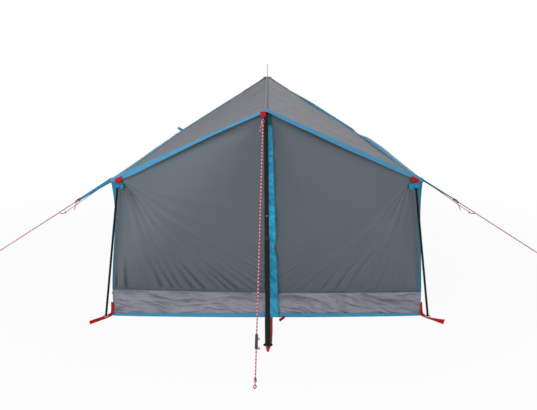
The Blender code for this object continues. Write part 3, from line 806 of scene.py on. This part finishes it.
def puckers(lands, height, seed, pitch):
    """Narrow gathers above the foot, along the lines that run down from the top corner."""
    phase = lands / pitch + 0.9 * wrinkle(lands * 8, height * 3, seed)
    size = 0.25 + 0.95 * fade(wrinkle(lands * 6, 0.3, seed + 2) + 0.35, 0.6)
    reach = 0.085 + 0.1 * (0.5 + wrinkle(lands * 11, 0.7, seed + 4))
    wave = max(0, math.cos(math.tau * phase)) ** 2 - 0.5
    return wave * size * math.exp(-(height / reach) ** 1.6)


def gable_relief(end, strength, seed, u, v, point):
    """Creases that fan out from the top corner, slack drapes below them, and puckers above the foot."""
    dx = EAVE_HALF[end] - FAN_IN - abs(point.x)
    dz = EAVE_HEIGHT[end] - point.z
    reach, angle = math.hypot(dx, dz), math.atan2(dz, dx)
    lands = dx * (EAVE_HEIGHT[end] - WALL_FOOT) / max(dz, 0.06)
    below = fade(angle - 0.25, 0.7)
    fan = creases(dx, dz, CORNER_CREASES)
    drape = wrinkle(angle * 9 + 1, reach * 1.1, seed + 4) * 0.009 * fade(reach, 0.25) * (0.2 + 0.8 * below)
    slack = ridged(angle * 16, reach, seed + 8) * 0.0024 * fade(reach, 0.3) * below
    pitch = 0.056 if strength > 0.8 else 0.085
    foot = -0.017 * puckers(lands, max(point.z - WALL_FOOT, 0), seed + 12, pitch)
    broad = wrinkle(u * 2.2, v * 2.2, seed + 16) * 0.003
    return inside(u, v, 0.03, 0.02, 0.02, 0.03) * (
        strength * (fan + drape + slack) + foot * (0.4 + 0.6 * strength) + broad)


def front_point(side, u, v):
    at = span(FRONT_EDGE[side] / FRONT_HALF, 1, u)
    point = wall_point("front", side, at, v)
    lower = at * v * max(1 - at - v, 0)
    upper = (1 - at) * (1 - v) * max(at + v - 1, 0)
    relief = gable_relief("front", STRENGTH[side], WALL_SEED[side], at, v, point)
    if side > 0:
        relief *= fade(at - 0.075, 0.06)
    point.y += fold(at, v, (lower + 0.4 * upper) * FOLD_SHARE[side]) - relief
    point.x -= side * waist(side, v) * at ** 3
    return point


def make_front():
    for word, side in SIDE_SIGN.items():
        made = cloth_piece("front_cloth_" + word, lambda u, v: front_point(side, u, v), 170, 170, WALL,
                           ["front_wall_" + word, "door_" + word], None)
        centre, foot, _, peak = wall_corners("front", side)
        hinge = (peak - foot).normalized()
        middle = foot.lerp(peak, 0.5)
        inward = centre - middle
        inward -= hinge * inward.dot(hinge)
        inward.normalize()
        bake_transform(made)


def make_door_facing():
    """The narrow facing sewn down the left door's edge, beside the zip."""
    inner = FRONT_EDGE[-1] / FRONT_HALF

    def facing(u, v):
        share = (FRONT_EDGE[-1] + 0.001 + 0.015 * u) / FRONT_HALF
        puff = 0.0012 + 0.001 * half_sine(u)
        return front_point(-1, (share - inner) / (1 - inner), 0.004 + 0.966 * v) + ZIP_OUT * puff

    cloth_piece("door_facing_left", facing, 6, 140, FACING, body="door_left")


def make_corner_bands():
    """The side wall's cloth, turned round each corner and sewn along the gable wall."""
    for end, word in CORNERS:
        side = SIDE_SIGN[word]
        wide = (end, word) == ("front", "right")

        def band(u, v):
            width = 0.01 + 0.055 * v ** 6 + 0.009 * (1 - v) ** 4 if wide else 0.007 + 0.024 * v ** 7
            point = wall_point(end, side, span(1 - width / FLOOR_HALF[end], 1, u), v)
            point.y += END_SIGN[end] * (0.0022 + 0.001 * half_sine(u) + 0.0008 * wrinkle(v * 14, u, 60))
            point.x += side * (0.0012 * u - waist(side, v))
            return point

        cloth_piece(f"corner_band_{end}_{word}", band, 8, 80, STRAP)


def make_rear_wall():
    def wall(u, v):
        across = 2 * u - 1
        side, share = side_of(across), abs(across)
        point = wall_point("rear", side, share, v)
        point.y -= fold(share, v, share * (1 - share) * v * (1 - v) * REAR_FOLD_SHARE)
        seam = -0.0012 * bell(across, 0.008)
        point.y += gable_relief("rear", 0.5, 70 + side, share, v, point) * fade(share, 0.04) + seam
        point.x -= side * waist(side, v) * share ** 3
        return point

    cloth_piece("rear_cloth", wall, 180, 90, WALL, ["rear_wall"])


def make_side_wall(word, side):
    reach = FLOOR_REACH - 0.0045
    lower = [place_at(end, side, FLOOR_HALF[end] - 0.0015, reach, WALL_FOOT) for end in END_SIGN]
    upper = [place_at(end, side, EAVE_HALF[end] - 0.0045, reach, EAVE_HEIGHT[end] - WALL_CORNER_DROP)
             for end in END_SIGN]

    def wall(u, v):
        point = blend4(*lower, *upper[::-1], u, v)
        point.z -= seam_drop(side * FRONT_HALF, point.y) * (1 - v) ** 3
        drape = FOLD_DEPTH * math.sin(math.tau * FOLD_COUNT * u) * (1 - v)
        point.x -= side * half_sine(u) * half_sine(v) * (0.018 + drape)
        point.z -= half_sine(u) * v * PANEL_SAG * 0.5 * fade(1 - v, 0.12)
        point.z += 0.7 * WALL_CORNER_DROP * fade(v - 0.95, 0.05)
        relief = wrinkle(u * 30, v * 3, 90 + side) * 0.003 + ridged(u * 14 + v * 4, v * 6, 95) * 0.0018
        point.x += side * (inside(u, v, 0.03, 0.03, 0.06, 0.06) * relief - waist(side, v))
        return point

    cloth_piece("side_cloth_" + word, wall, 160, 50, SIDE, ["side_wall_" + word])


# Floor

FLOOR_CORNERS = [place_at(end, side, FLOOR_HALF[end], FLOOR_REACH)
                 for end, side in (("front", -1), ("front", 1), ("rear", 1), ("rear", -1))]
SEAM_PLACES = (-0.7, -0.024, 0.088, 0.7)
FLAP_PLACE = 0.026


def outline(s):
    """A place on the floor's outline, its outward direction and its edge's length, for s from 0 to 4."""
    index = min(int(s), 3)
    start, stop = FLOOR_CORNERS[index], FLOOR_CORNERS[(index + 1) % 4]
    along = (stop - start).normalized()
    return start.lerp(stop, s - index), vec(along.y, -along.x), (stop - start).length


def tub_relief(s, height_share):
    """Level and slanting wrinkles along the band, and the seams that cross it."""
    index = int(min(s, 3.999))
    length = outline(s)[2]
    run = (s - index) * length
    height = TUB_HEIGHT * height_share
    x = index * 7 + run
    warp = 0.9 * wrinkle(x * 5, height * 12, 110) + 0.5 * wrinkle(x * 11, height * 20, 115)
    slope = 0.16 + 0.22 * wrinkle(x * 2.4, 0.5, 118)
    level = (ridged(x * 4, (height + slope * run) / 0.04 + warp, 120) - 0.4) * 0.0122
    small = (ridged(x * 8, (height + 0.3 * run) / 0.02 + warp, 130) - 0.4) * 0.0068
    small += (ridged(x * 16, (height + 0.1 * run) / 0.011 + 0.6 * warp, 135) - 0.4) * 0.003
    slant = wrinkle(x * 5, (height + 0.5 * run) * 13, 125) * 0.0085
    relief = (level + small + slant) * fade(height_share, 0.1) * fade(1 - height_share, 0.12)
    if relief > 0:
        relief *= fade(height_share - 0.1, 0.16)
    if index in (0, 2):
        place = run - length / 2
        relief *= 1 - 0.75 * math.exp(-((place - FLAP_PLACE) / 0.055) ** 4)
        relief += sum(0.0016 * bell(place - seam, 0.0035) for seam in SEAM_PLACES)
    return relief * fade(min(run, length - run), 0.03)


def make_floor():
    base, top = 0.001, WALL_FOOT - 0.0006

    def bulge(place, outward, height_share):
        return outward * (foot_bow(place.x, height_share) * abs(outward.y))

    def band(u, v):
        s = 4 * u
        place, outward, _ = outline(s)
        lap = fade(v - 0.93, 0.07) * fade(min(s - 1, 4 - s), 0.02)
        point = place + outward * (tub_relief(s, v) - 0.0004 + 0.0022 * lap) + bulge(place, outward, v)
        point.z = base + (top - base - seam_drop(place.x, place.y)) * v + 0.0045 * lap
        return point

    def floor(u, v):
        half = span(FRONT_HALF, FLOOR_HALF["rear"], v) - 0.0006
        x = half * (2 * u - 1)
        y = (FLOOR_REACH - 0.0006 + foot_bow(x, 0)) * (2 * v - 1)
        crease = max(0, ridged(x * 4 + y, y * 3, 140)) * 0.0018
        rise = crease + 0.0008 * (1 + wrinkle(x * 9, y * 9, 150))
        return vec(x, y, 0.0008 + rise * fade(min(u, 1 - u), 0.02) * fade(min(v, 1 - v), 0.02))

    def binding(u, v):
        place, outward, _ = outline(4 * u)
        turn = math.pi * (v - 0.5)
        half = span(*BINDING_HEIGHT, abs(outward.y) * middle_share(place.x)) / 2
        ease = 0.0006 * wrinkle(u * 160, v, 155)
        point = place + outward * (0.0022 + (0.0022 + ease) * math.cos(turn)) + bulge(place, outward, 0)
        point.z = 0.0007 + half + (half + ease) * math.sin(turn)
        return point

    cloth_piece("tub_band", band, 960, 42, TUB, ["tub_floor"], closed=True)
    cloth_piece("floor_sheet", floor, 90, 110, TUB, [])
    cloth_piece("foot_binding", binding, 640, 8, BINDING, ["floor_binding"],
                closed=True)


# Zip and storm flap

ZIP_FOOT, _, _, zip_top = wall_corners("front", 1)
ZIP_LENGTH = (zip_top - ZIP_FOOT).length
ZIP_ALONG = (zip_top - ZIP_FOOT).normalized()
ZIP_OUT = vec(0, -ZIP_ALONG.z, ZIP_ALONG.y)
ZIP_SPAN = (0.012, ZIP_LENGTH * 0.953)
TOOTH_PITCH = 0.003


def zip_axes(across, distance, out):
    return RIGHT * across + ZIP_ALONG * distance + ZIP_OUT * out


def make_zip():
    """Two tapes with moulded teeth that mesh in the middle, a slider and its pull."""
    start, stop = ZIP_SPAN

    def tape(u, v):
        return ZIP_FOOT + zip_axes(-0.006 + 0.0088 * u, span(start, stop, v), -0.0004)

    cloth_piece("zip_tape", tape, 4, 60, BLACK, ["zip_chain"], body="door_right", thickness=0.0006)
    bm = bmesh.new()
    for index in range(int((stop - start) / TOOTH_PITCH)):
        lean = 0.0011 if index % 2 else -0.0011
        centre = ZIP_FOOT + zip_axes(-0.0016 + lean, start + TOOTH_PITCH * (index + 0.5), 0.0006)
        for vert in bmesh.ops.create_cube(bm, size=2)["verts"]:
            x, y, z = vert.co
            taper = 0.75 if z > 0 else 1
            vert.co = centre + zip_axes(x * 0.0018 * taper, y * 0.0011 * taper, z * 0.0009)
    map_flat(bm)
    dress(bm_object("zip_teeth", bm, smooth=False), BLACK, body="door_right")
    make_slider()


# The slider's plate and wings in millimetres: place on the zip's axes, half edges along them and bevel
SLIDER_BLOCKS = (((0, 0, -0.8), (4.2, 6.8, 1.3), 0.7), ((-2.6, 3.4, -0.6), (1.6, 3.2, 1.5), 0.6),
                 ((2.6, 3.4, -0.6), (1.6, 3.2, 1.5), 0.6))


def make_slider():
    centre = middle_of("zip_slider")
    parts = [cuboid("block", centre + zip_axes(*place) * MM, RIGHT * (x * MM), ZIP_ALONG * (y * MM),
                    ZIP_OUT * (z * MM), bevel * MM) for place, (x, y, z), bevel in SLIDER_BLOCKS]
    bridge = arc(lambda c, s, _: centre + zip_axes(0, -0.0046 * c, 0.0004 + 0.0019 * s), 12, 0.5)
    parts.append(tube("slider_bridge", bridge, 0.0009, 10))
    dress(joined("slider", parts), STEEL, ["zip_slider"], "zip_slider")
    top = middle_of("zip_pull")
    top.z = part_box("zip_pull")[1].z - 0.0012
    eye = tube("pull_eye", arc(lambda c, s, _: top + vec(0.0024 * s, 0, 0.004 * c - 0.004), 24), 0.0006)
    grip = cuboid("pull_grip", top - UP * 0.0155, RIGHT * 0.0024, UP * -0.0085, BACK * 0.0007, 0.0005)
    dress(joined("pull", [eye, grip]), STEEL, ["zip_pull"], "zip_pull")


FLAP_FREE = 0.0035
FLAP_SEWN = (0.0575, 0.0245)
FLAP_SPAN = (-0.012, 0.936)
HEAD_SPAN = (0.934, 0.99)
# Where each of the flap's folds starts, crests and ends, and its height in millimetres
FLAP_FOLDS = ((0.93, 0.853, 0.82, 4), (0.82, 0.754, 0.712, 8), (0.736, 0.605, 0.57, 11),
              (0.567, 0.426, 0.38, 13), (0.38, 0.347, 0.319, 7), (0.319, 0.239, 0.173, 10),
              (0.173, 0.12, 0.085, 8), (0.09, 0.05, 0.015, 8))


def on_door(x, v):
    return wall_point("front", 1, x / FRONT_HALF, v)


def flap_relief(u, v):
    """Folds that sag one over the next down the strip, slanting more towards its foot."""
    slant = v + (0.02 + 0.06 * fade(0.4 - v, 0.3)) * (u - 0.5)
    total = wrinkle(u * 2, v * 22, 165) * 0.0036
    total += (ridged(slant * 30, u * 1.1, 166) - 0.4) * (0.007 + 0.0042 * fade(0.42 - v, 0.3))
    total += (ridged(slant * 62 + u, u * 1.6, 167) - 0.4) * 0.003
    for top, crest, end, height in FLAP_FOLDS:
        near = (top - slant) / (top - crest) if slant >= crest else (slant - end) / (crest - end)
        total += 1.25 * height * MM * fade(near, 1)
    return total


def flap_point(u, v):
    """The storm flap between its free edge (u = 0) and its sewn edge (u = 1)."""
    at = span(*FLAP_SPAN, v)
    sewn = span(*FLAP_SEWN, v) - 0.01 * bell(at - 0.275, 0.036) + 0.0012 * wrinkle(at * 30, 0, 168)
    wave = 1 + math.sin(math.tau * 5 * v + 2 * u)
    loose = fade(1 - u, 0.14)
    out = 0.0065 + 0.01 * (1 - u) ** 3 + 0.009 * u * u * loose
    out += 0.0012 * wave * half_sine(u) + loose * (0.5 + 0.5 * u) * flap_relief(u, at)
    out *= 0.35 + 0.65 * fade(0.955 - at, 0.075)
    lean = 0.02 * max(0, 1 - at / 0.1) ** 2
    return on_door(span(FLAP_FREE, sewn, u), at) + ZIP_OUT * out - BACK * lean


def make_storm_flap():
    made = cloth_piece("storm_flap_cloth", flap_point, 24, 300, TEAL, ["storm_flap"],
                       None)
    sewn = flap_point(1, 0.5)
    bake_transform(made)

    def head(u, v):
        proud = 0.003 + 0.0012 * wrinkle(u * 3, v * 4, 169)
        return on_door(0.003 + 0.02 * u, span(*HEAD_SPAN, v)) + ZIP_OUT * proud

    # The head is coloured dark teal as painted shade under the binding.
    cloth_piece("storm_flap_head", head, 8, 16, TEAL_PAINTED_SHADE, body="door_right")
    make_flap_foot()


def make_flap_foot():
    """The strip's foot, sewn down over the front of the tub."""
    low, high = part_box("storm_flap_tail")

    def tail(u, v):
        share = (1 - v) ** 1.2
        crease = sum(size * bell(u * 0.9 + v * 1.3 - start, 0.11)
                     for start, size in ((0.35, 0.005), (0.75, -0.005), (1.1, 0.005), (1.5, -0.004)))
        relief = (crease + wrinkle(u * 5, v * 5, 175) * 0.0014) * fade(1 - v, 0.2) * fade(u, 0.15)
        x = span(low.x - 0.016 * share, high.x + 0.006 * share + 0.001 * wrinkle(v * 6, 0, 176), u)
        proud = 0.011 + 0.006 * v + foot_bow(x, v)
        return vec(x, -FLOOR_REACH - proud - relief, span(low.z - 0.008, high.z + 0.002, v))

    cloth_piece("storm_flap_foot", tail, 24, 50, TEAL, ["storm_flap_tail"])


# Poles. Profiles are in millimetres.

COLLAR = ((0, -12), (11.1, -12), (11.4, -10), (11.4, -2), (10.8, 0.6), (9.4, 1), (9.4, 4), (0, 4))
SLEEVE = ((0, 30), (13.4, 30), (13.6, 34), (13.2, 150), (12.6, 172), (11.4, 176), (0, 176))
BUTTON = ((0, 0), (2.6, 0), (2.6, 0.8), (1.8, 1.8), (0, 2.1))
CUP = ((0, 0), (8.4, 0), (9.4, 1.2), (8.8, 3), (9.2, 10), (10.2, 12.5), (9.6, 15), (6, 16.5), (0, 16.8))


def pole_axis(end):
    """Where a centre pole's axis meets the ground, and the direction up along it."""
    disc = middle_of(end + "_pole_disc")
    up = (middle_of(end + "_pole_lower") - disc).normalized()
    return disc - up * (disc.z / up.z), up


def dress_poles():
    nodes = frame["nodes"]
    for end, sign in END_SIGN.items():
        upper = PIN_POLE if end == "rear" else POLE
        for part, material in (("tip", RED_PLASTIC), ("disc", BLACK), ("lower", POLE), ("upper", upper)):
            paint(nodes[f"{end}_pole_{part}"], material)
        ground, up = pole_axis(end)
        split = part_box(end + "_pole_lower")[1].z
        outward = RIGHT.cross(up) * -sign
        button = ground + up * BUTTON_HEIGHT + outward * 0.009
        for part, profile, base, direction, material in (("collar", COLLAR, ground + up * split, up, BLACK),
                                                         ("sleeve", SLEEVE, ground, up, POLE),
                                                         ("button", BUTTON, button, outward, STEEL)):
            dress(lathe(f"{end}_pole_{part}", profile, base, direction), material)
    for end, word in CORNERS:
        paint(nodes[f"corner_pole_{end}_{word}"], POLE)


def corner_pole_axis(end, side):
    """The foot and top of a corner pole, and the direction up along it."""
    foot = place_at(end, side, FLOOR_HALF[end] + 0.03, FLOOR_REACH + 0.043, 0.0048)
    top = place_at(end, side, EAVE_HALF[end] - 0.042, FLOOR_REACH + 0.052, EAVE_HEIGHT[end] - 0.022)
    return foot, top, (top - foot).normalized()


# The hook's bar, arm and lip in millimetres: lift and reach of the centre, half edges and bevel
HOOK_BLOCKS = ((10, 8, 21.5, 4.6, 6.2, 2.2), (2, 20.5, 6.4, 4, 9.8, 2.2), (16.5, 6, 15, 2.4, 2.6, 1))


def make_corner_hook(name, end, side):
    """A moulded cap over the pole's top, with a slot for the strap that ties it to the roof."""
    _, top, up = corner_pole_axis(end, side)
    foot = top - up * 0.007
    inward = RIGHT * -side
    across = inward.cross(up).normalized()
    parts = [lathe("cup", CUP, foot, up, 28)]
    for block in HOOK_BLOCKS:
        lift, reach, x, y, z, bevel = [size * MM for size in block]
        place = foot + up * lift + inward * reach
        parts.append(cuboid("block", place, inward * x, across * y, up * z, bevel))
    dress(joined("pole_cap_" + name, parts), BLUE_PLASTIC, ["corner_hook_" + name])


def make_corner_tab(name, end, side):
    """The red patch that reinforces the roof's corner, folded over the binding."""
    def tab(u, v):
        puff = 0.0012 * half_sine(u) * half_sine(v)
        return gable_edge(end, side, 0.915 + 0.055 * u) + place_at(
            end, side, 0.012 * v * (0.4 - u), 0.005 + puff, -0.006 - 0.027 * v)

    cloth_piece("corner_patch_" + name, tab, 14, 12, RED, ["corner_tab_" + name], thickness=WEBBING)


# Foot straps from the top down: place from the floor's corner in millimetres, share of the width, and tilt
FOOT_STATIONS = {
    -1: ((3, 4, 72, 0.85, 0), (3.2, 4.2, 50, 0.95, 0), (3.5, 4.5, 30, 1, 0), (5, 6.5, 16, 0.95, 0.2),
             (9, 13, 10, 0.7, 0.65), (18, 27, 8.8, 0.45, 0.8), (31, 51, 8.6, 0.4, 0.75),
             (50, 74, 8.8, 0.4, 0.8), (74, 105, 9, 0.4, 0.85), (92, 130, 9, 0.4, 0.85)),
    1: ((3, 4, 72, 0.45, 0), (3.2, 4.2, 50, 0.65, 0), (3.5, 4.5, 30, 0.9, 0), (4.5, 6, 14, 1.15, 0.1),
              (9, 12, 7, 1.1, 0.35), (18, 25, 5.6, 0.8, 0.4), (30, 47, 4.6, 0.7, 0.2),
              (50, 71, 6.4, 0.7, 0.45), (74, 105, 10, 0.55, 0.9), (92, 130, 13.4, 0.45, 1.3)),
}


def make_foot_strap(name, end, side):
    """Webbing up the floor's corner and out under the pole's foot, with a ring that the foot stands in."""
    corner = place_at(end, side, FLOOR_HALF[end], FLOOR_REACH)
    run = place_at(end, side, 0.092, 0.13).normalized()
    level = vec(run.y, -run.x)
    path, halves = [], []
    for x, y, z, across, tilt in FOOT_STATIONS[side]:
        path.append(corner + place_at(end, side, x, y, z) * MM)
        halves.append((level * across + UP * (tilt * side * END_SIGN[end])) * 0.009)
    ribbon("foot_webbing_" + name, path, halves, RED, ["foot_strap_" + name], bow=0.0006)
    foot = corner_pole_axis(end, side)[0]
    ring = arc(lambda c, s, _: foot + vec(0.011 * c, 0.011 * s, 0.008 + 0.0016 * s), 28)
    dress(tube("foot_ring_" + name, ring, 0.0022, 10), RING_PLASTIC)


def make_pole_strap(end):
    """The wide webbing from the floor's edge to the pole's foot."""
    start = FLOOR_REACH + FOOT_BOW + 0.0045
    stop = abs(pole_axis(end)[0].y) - 0.0125
    stations = ((0.0125, start, 0.013, 1), (0.0125, start + 0.004, 0.007, 1),
                (0.0125, start + 0.01, 0.003, 0.95), (0.0125, start + 0.06, 0.0022, 0.92),
                (0.0125, 0.5 * (start + stop), 0.003, 0.88), (0.011, stop - 0.08, 0.0024, 0.78),
                (0.004, stop, 0.0022, 0.4))
    ribbon(end + "_pole_webbing", [place_at(end, 1, x, y, z) for x, y, z, _ in stations],
           [RIGHT * (0.017 * share) for *_, share in stations], RED, [end + "_pole_strap"], bow=0.0006)


# Guy straps, ropes and what is on them

def straight(start, end):
    count = max(2, int((end - start).length / ROPE_STEP))
    return [start.lerp(end, k / count) for k in range(count + 1)]


def braid(distance, turn):
    """The rope's surface: strands that cross and swell."""
    run = distance / BRAID_PITCH
    cross = math.sin(math.tau * (run + 2 * turn)) * math.sin(math.tau * (run - 2 * turn))
    return ROPE_RADIUS * (1 + 0.07 * cross)


def coil_knot(name, at, along, turns=3, length=0.015):
    """A few tight turns of rope round the rope."""
    side = along.cross(UP).normalized()
    other = side.cross(along)
    path = arc(lambda c, s, share: at + along * (length * (share - 0.5))
               + (side * c + other * s) * (ROPE_RADIUS * 1.7), turns * 16, turns)
    return tube(name, path, ROPE_RADIUS * 0.95)


def peg_loop(name, at, outward):
    """A loop that would lie over a peg's head, flat on the ground."""
    side = vec(outward.y, -outward.x)
    return tube(name, arc(lambda c, s, _: at + outward * (0.015 - 0.015 * c)
                          + side * (0.0052 * s), 32), braid, 10)


def guy(name, start, end, node):
    """A taut rope with a knot at each end and a loop on the ground."""
    along = (end - start).normalized()
    path = straight(start, end)
    rope = dress(tube(name, path, braid, 12), ROPE, [node])
    knots = joined(name + "_knots", [coil_knot("top_turns", start + along * 0.012, along),
                                     coil_knot("low_turns", end - along * 0.02, along),
                                     peg_loop("loop", end, vec(along.x, along.y).normalized())])
    dress(knots, ROPE)
    [tuple(p) for p in path]


STRAP_STATIONS = ((0, 9), (0.06, 10), (0.25, 8.5), (0.5, 7), (0.75, 6), (0.93, 5.2), (1, 4.8))


def make_corner_guy(name, end, side):
    """The strap sewn on the roof's corner, its buckle, and the rope with its short free end."""
    start, peg = [vec(side * p.x, p.y, p.z) for p in CORNER_ROPE_ENDS[end]]
    along = (peg - start).normalized()
    level = vec(along.y, -along.x).normalized()
    wide = level.cross(along).normalized()
    if name == "front_right":
        wide = level * 0.9 + wide * 0.35
    first = eave_corner(end, side) - along * 0.012 - UP * 0.004
    last = start - along * 0.006
    ribbon("guy_webbing_" + name, [first.lerp(last, share) for share, _ in STRAP_STATIONS],
           [wide * (half * MM) for _, half in STRAP_STATIONS], STRAP, ["guy_strap_" + name],
           thickness=0.0014, columns=8, bow=0.0024)
    dress(cuboid("guy_buckle_" + name, start - along * 0.004, along * 0.007, wide * 0.0058,
                 along.cross(wide).normalized() * 0.0018, 0.001), BLACK)
    droop = [start + along * (0.012 + 0.002 * k) - UP * (0.003 * k) + level * (0.0006 * k)
             for k in range(12)]
    dress(tube("rope_end_" + name, droop, ROPE_RADIUS * 0.9), ROPE)
    guy("rope_" + name, start, peg, "guy_rope_" + name)


def make_centre_guy(end):
    """The front or rear rope, threaded through its tensioner."""
    start, peg = ROPE_ENDS[end]
    along = (peg - start).normalized()
    node = end + "_guy_tensioner"
    tensioner = frame["nodes"][node]
    paint(tensioner, BLACK)
    centre, side = middle_of(node), along.cross(BACK).normalized()
    bites = []
    for name, at, reach in (("upper", -0.012, 0.006), ("lower", 0.026, 0.009)):
        path = arc(lambda c, s, _: centre + along * (at + 0.0045 * c) + side * (0.004 + reach * s), 20, 0.5)
        bites.append(tube(name, path, ROPE_RADIUS * 1.05))
    loops = dress(joined(end + "_tensioner_loops", bites), ROPE, body=node)
    guy(end + "_rope", start, peg, end + "_guy_rope")


def make_peak_tab():
    """The red loop under the front peak, gathered onto the rope, and the rope's short tail."""
    low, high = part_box("front_peak_tab")
    start = ROPE_ENDS["front"][0]

    def tab(u, v):
        half = 0.006 * (1 - v) ** 0.8 + 0.0075
        across = 2 * u - 1
        gather = 0.0012 * math.cos(across * math.pi * 2.5) * v
        return vec(start.x + half * across, low.y + 0.003 - gather - 0.001 * half_sine(u),
                   span(high.z, low.z + 0.005, v))

    cloth_piece("peak_loop", tab, 18, 14, RED, ["front_peak_tab"], thickness=WEBBING)
    tail = [start + vec(-0.002 - 0.012 * k / 12, 0.001, -0.006 - 0.048 * k / 12 + 0.003 * math.sin(k))
            for k in range(13)]
    dress(tube("rope_tail", tail, ROPE_RADIUS * 0.8, 10), ROPE)


def make_threshold_tab():
    """A small red pull tab sewn under the binding, right of the zip."""
    edge = FLOOR_REACH + FOOT_BOW
    path = [vec(0.09, -edge + 0.004, 0.0066), vec(0.0855, -edge - 0.014, 0.0068),
            vec(0.0745, -edge - 0.04, 0.0066), vec(0.061, -edge - 0.064, 0.0064)]
    half = vec(0.0028, -0.0052, -0.0048)
    ribbon("threshold_tab", path, [half * 0.6, half, half, half * 0.95], RED)


def make_eave_loop():
    """A short strap that stands up from the rear left corner of the roof."""
    corner = eave_corner("rear", -1).lerp(roof_peak("rear"), 0.045)
    path = [corner + vec(*place) * MM for place in ((20, -4, 4), (4, 0, 10), (-12, 2, 20), (-26, 2, 27))]
    half = vec(0.0045, 0.002, 0.0075)
    ribbon("eave_loop", path, [half, half * 1.1, half, half * 0.8], TEAL, thickness=0.0022, columns=6,
           bow=0.002)


# Stage

WHITE = (1, 1, 1, 1)
GROUND_REACH = 40
SHADOW_REACH = (1.6, 3.2)
SHADOW_GLOW = 0.94
WORLD_LEVEL = 0.38
# Place, size in metres and power in watts
LAMPS = {
    "key": (vec(-3, -4.2, 5), 2.6, 105),
    "front": (vec(-2.2, -6.5, 1.7), 3, 122),
    "fill": (vec(4, -4.5, 2.2), 3.5, 45),
    "back": (vec(1, 5.5, 3.5), 3, 50),
}


def make_stage():
    """A ground that keeps the tent's shadow and a world, both white to the camera."""
    mesh = bpy.data.meshes.new("ground")
    corners = ((-1, -1), (1, -1), (1, 1), (-1, 1))
    mesh.from_pydata([vec(x, y) * GROUND_REACH for x, y in corners], [], [(0, 1, 2, 3)])
    ground = new_object("ground", mesh)
    ground.location.z = -0.0002
    t = new_tree("pale_ground")
    glow = t.add("Emission", Color=WHITE, Strength=1).outputs[0]
    place = t.add("TexCoord").outputs["Object"]
    distance = t.add("VectorMath", {"operation": "LENGTH"}, i0=place).outputs["Value"]
    white = t.times(t.seen(), t.ranged(distance, *SHADOW_REACH, SHADOW_GLOW, 1))
    mix = t.add("MixShader", i0=white, i1=t.shader.outputs[0], i2=glow)
    t.fill(t.nodes["Material Output"], Surface=mix.outputs[0])
    mesh.materials.append(t.finish(Base_Color=(0.62, 0.62, 0.62, 1), Roughness=0.95))

    world = bpy.context.scene.world = bpy.data.worlds.new("studio")
    t = Tree(world, "Background")
    t.finish(Color=WHITE, Strength=t.ranged(t.seen(), 0, 1, WORLD_LEVEL, 1))


def make_lights():
    for name, (place, size, power) in LAMPS.items():
        lamp = bpy.data.lights.new(name, "AREA")
        lamp.size = size
        lamp.energy = power
        thing = new_object(name, lamp)
        thing.location = place
        thing.rotation_euler = (UP / 2 - place).to_track_quat("-Z", "Y").to_euler()


def make_camera():
    """The photograph's camera: 5 m in front of the middle, 1.42 m up, tilted down 12.1 degrees."""
    camera = bpy.data.cameras.new("camera")
    camera.lens = 56.56
    camera.sensor_width = 36
    thing = bpy.context.scene.camera = new_object("camera", camera)
    thing.location = (0.008, -5, 1.421)
    thing.rotation_euler = (math.radians(90 - 12.1), 0, 0)


make_camera()
make_stage()
make_lights()
for end in END_SIGN:
    make_centre_guy(end)
    make_pole_strap(end)
make_peak_tab()
for end, word in CORNERS:
    for make in (make_corner_guy, make_corner_hook, make_corner_tab, make_foot_strap):
        make(f"{end}_{word}", end, SIDE_SIGN[word])
dress_poles()
make_roof()
make_front()
make_door_facing()
make_corner_bands()
make_rear_wall()
for word, side in SIDE_SIGN.items():
    make_side_wall(word, side)
make_floor()
make_zip()
make_storm_flap()
make_threshold_tab()
make_eave_loop()

bpy.context.scene.view_settings.view_transform = "Standard"
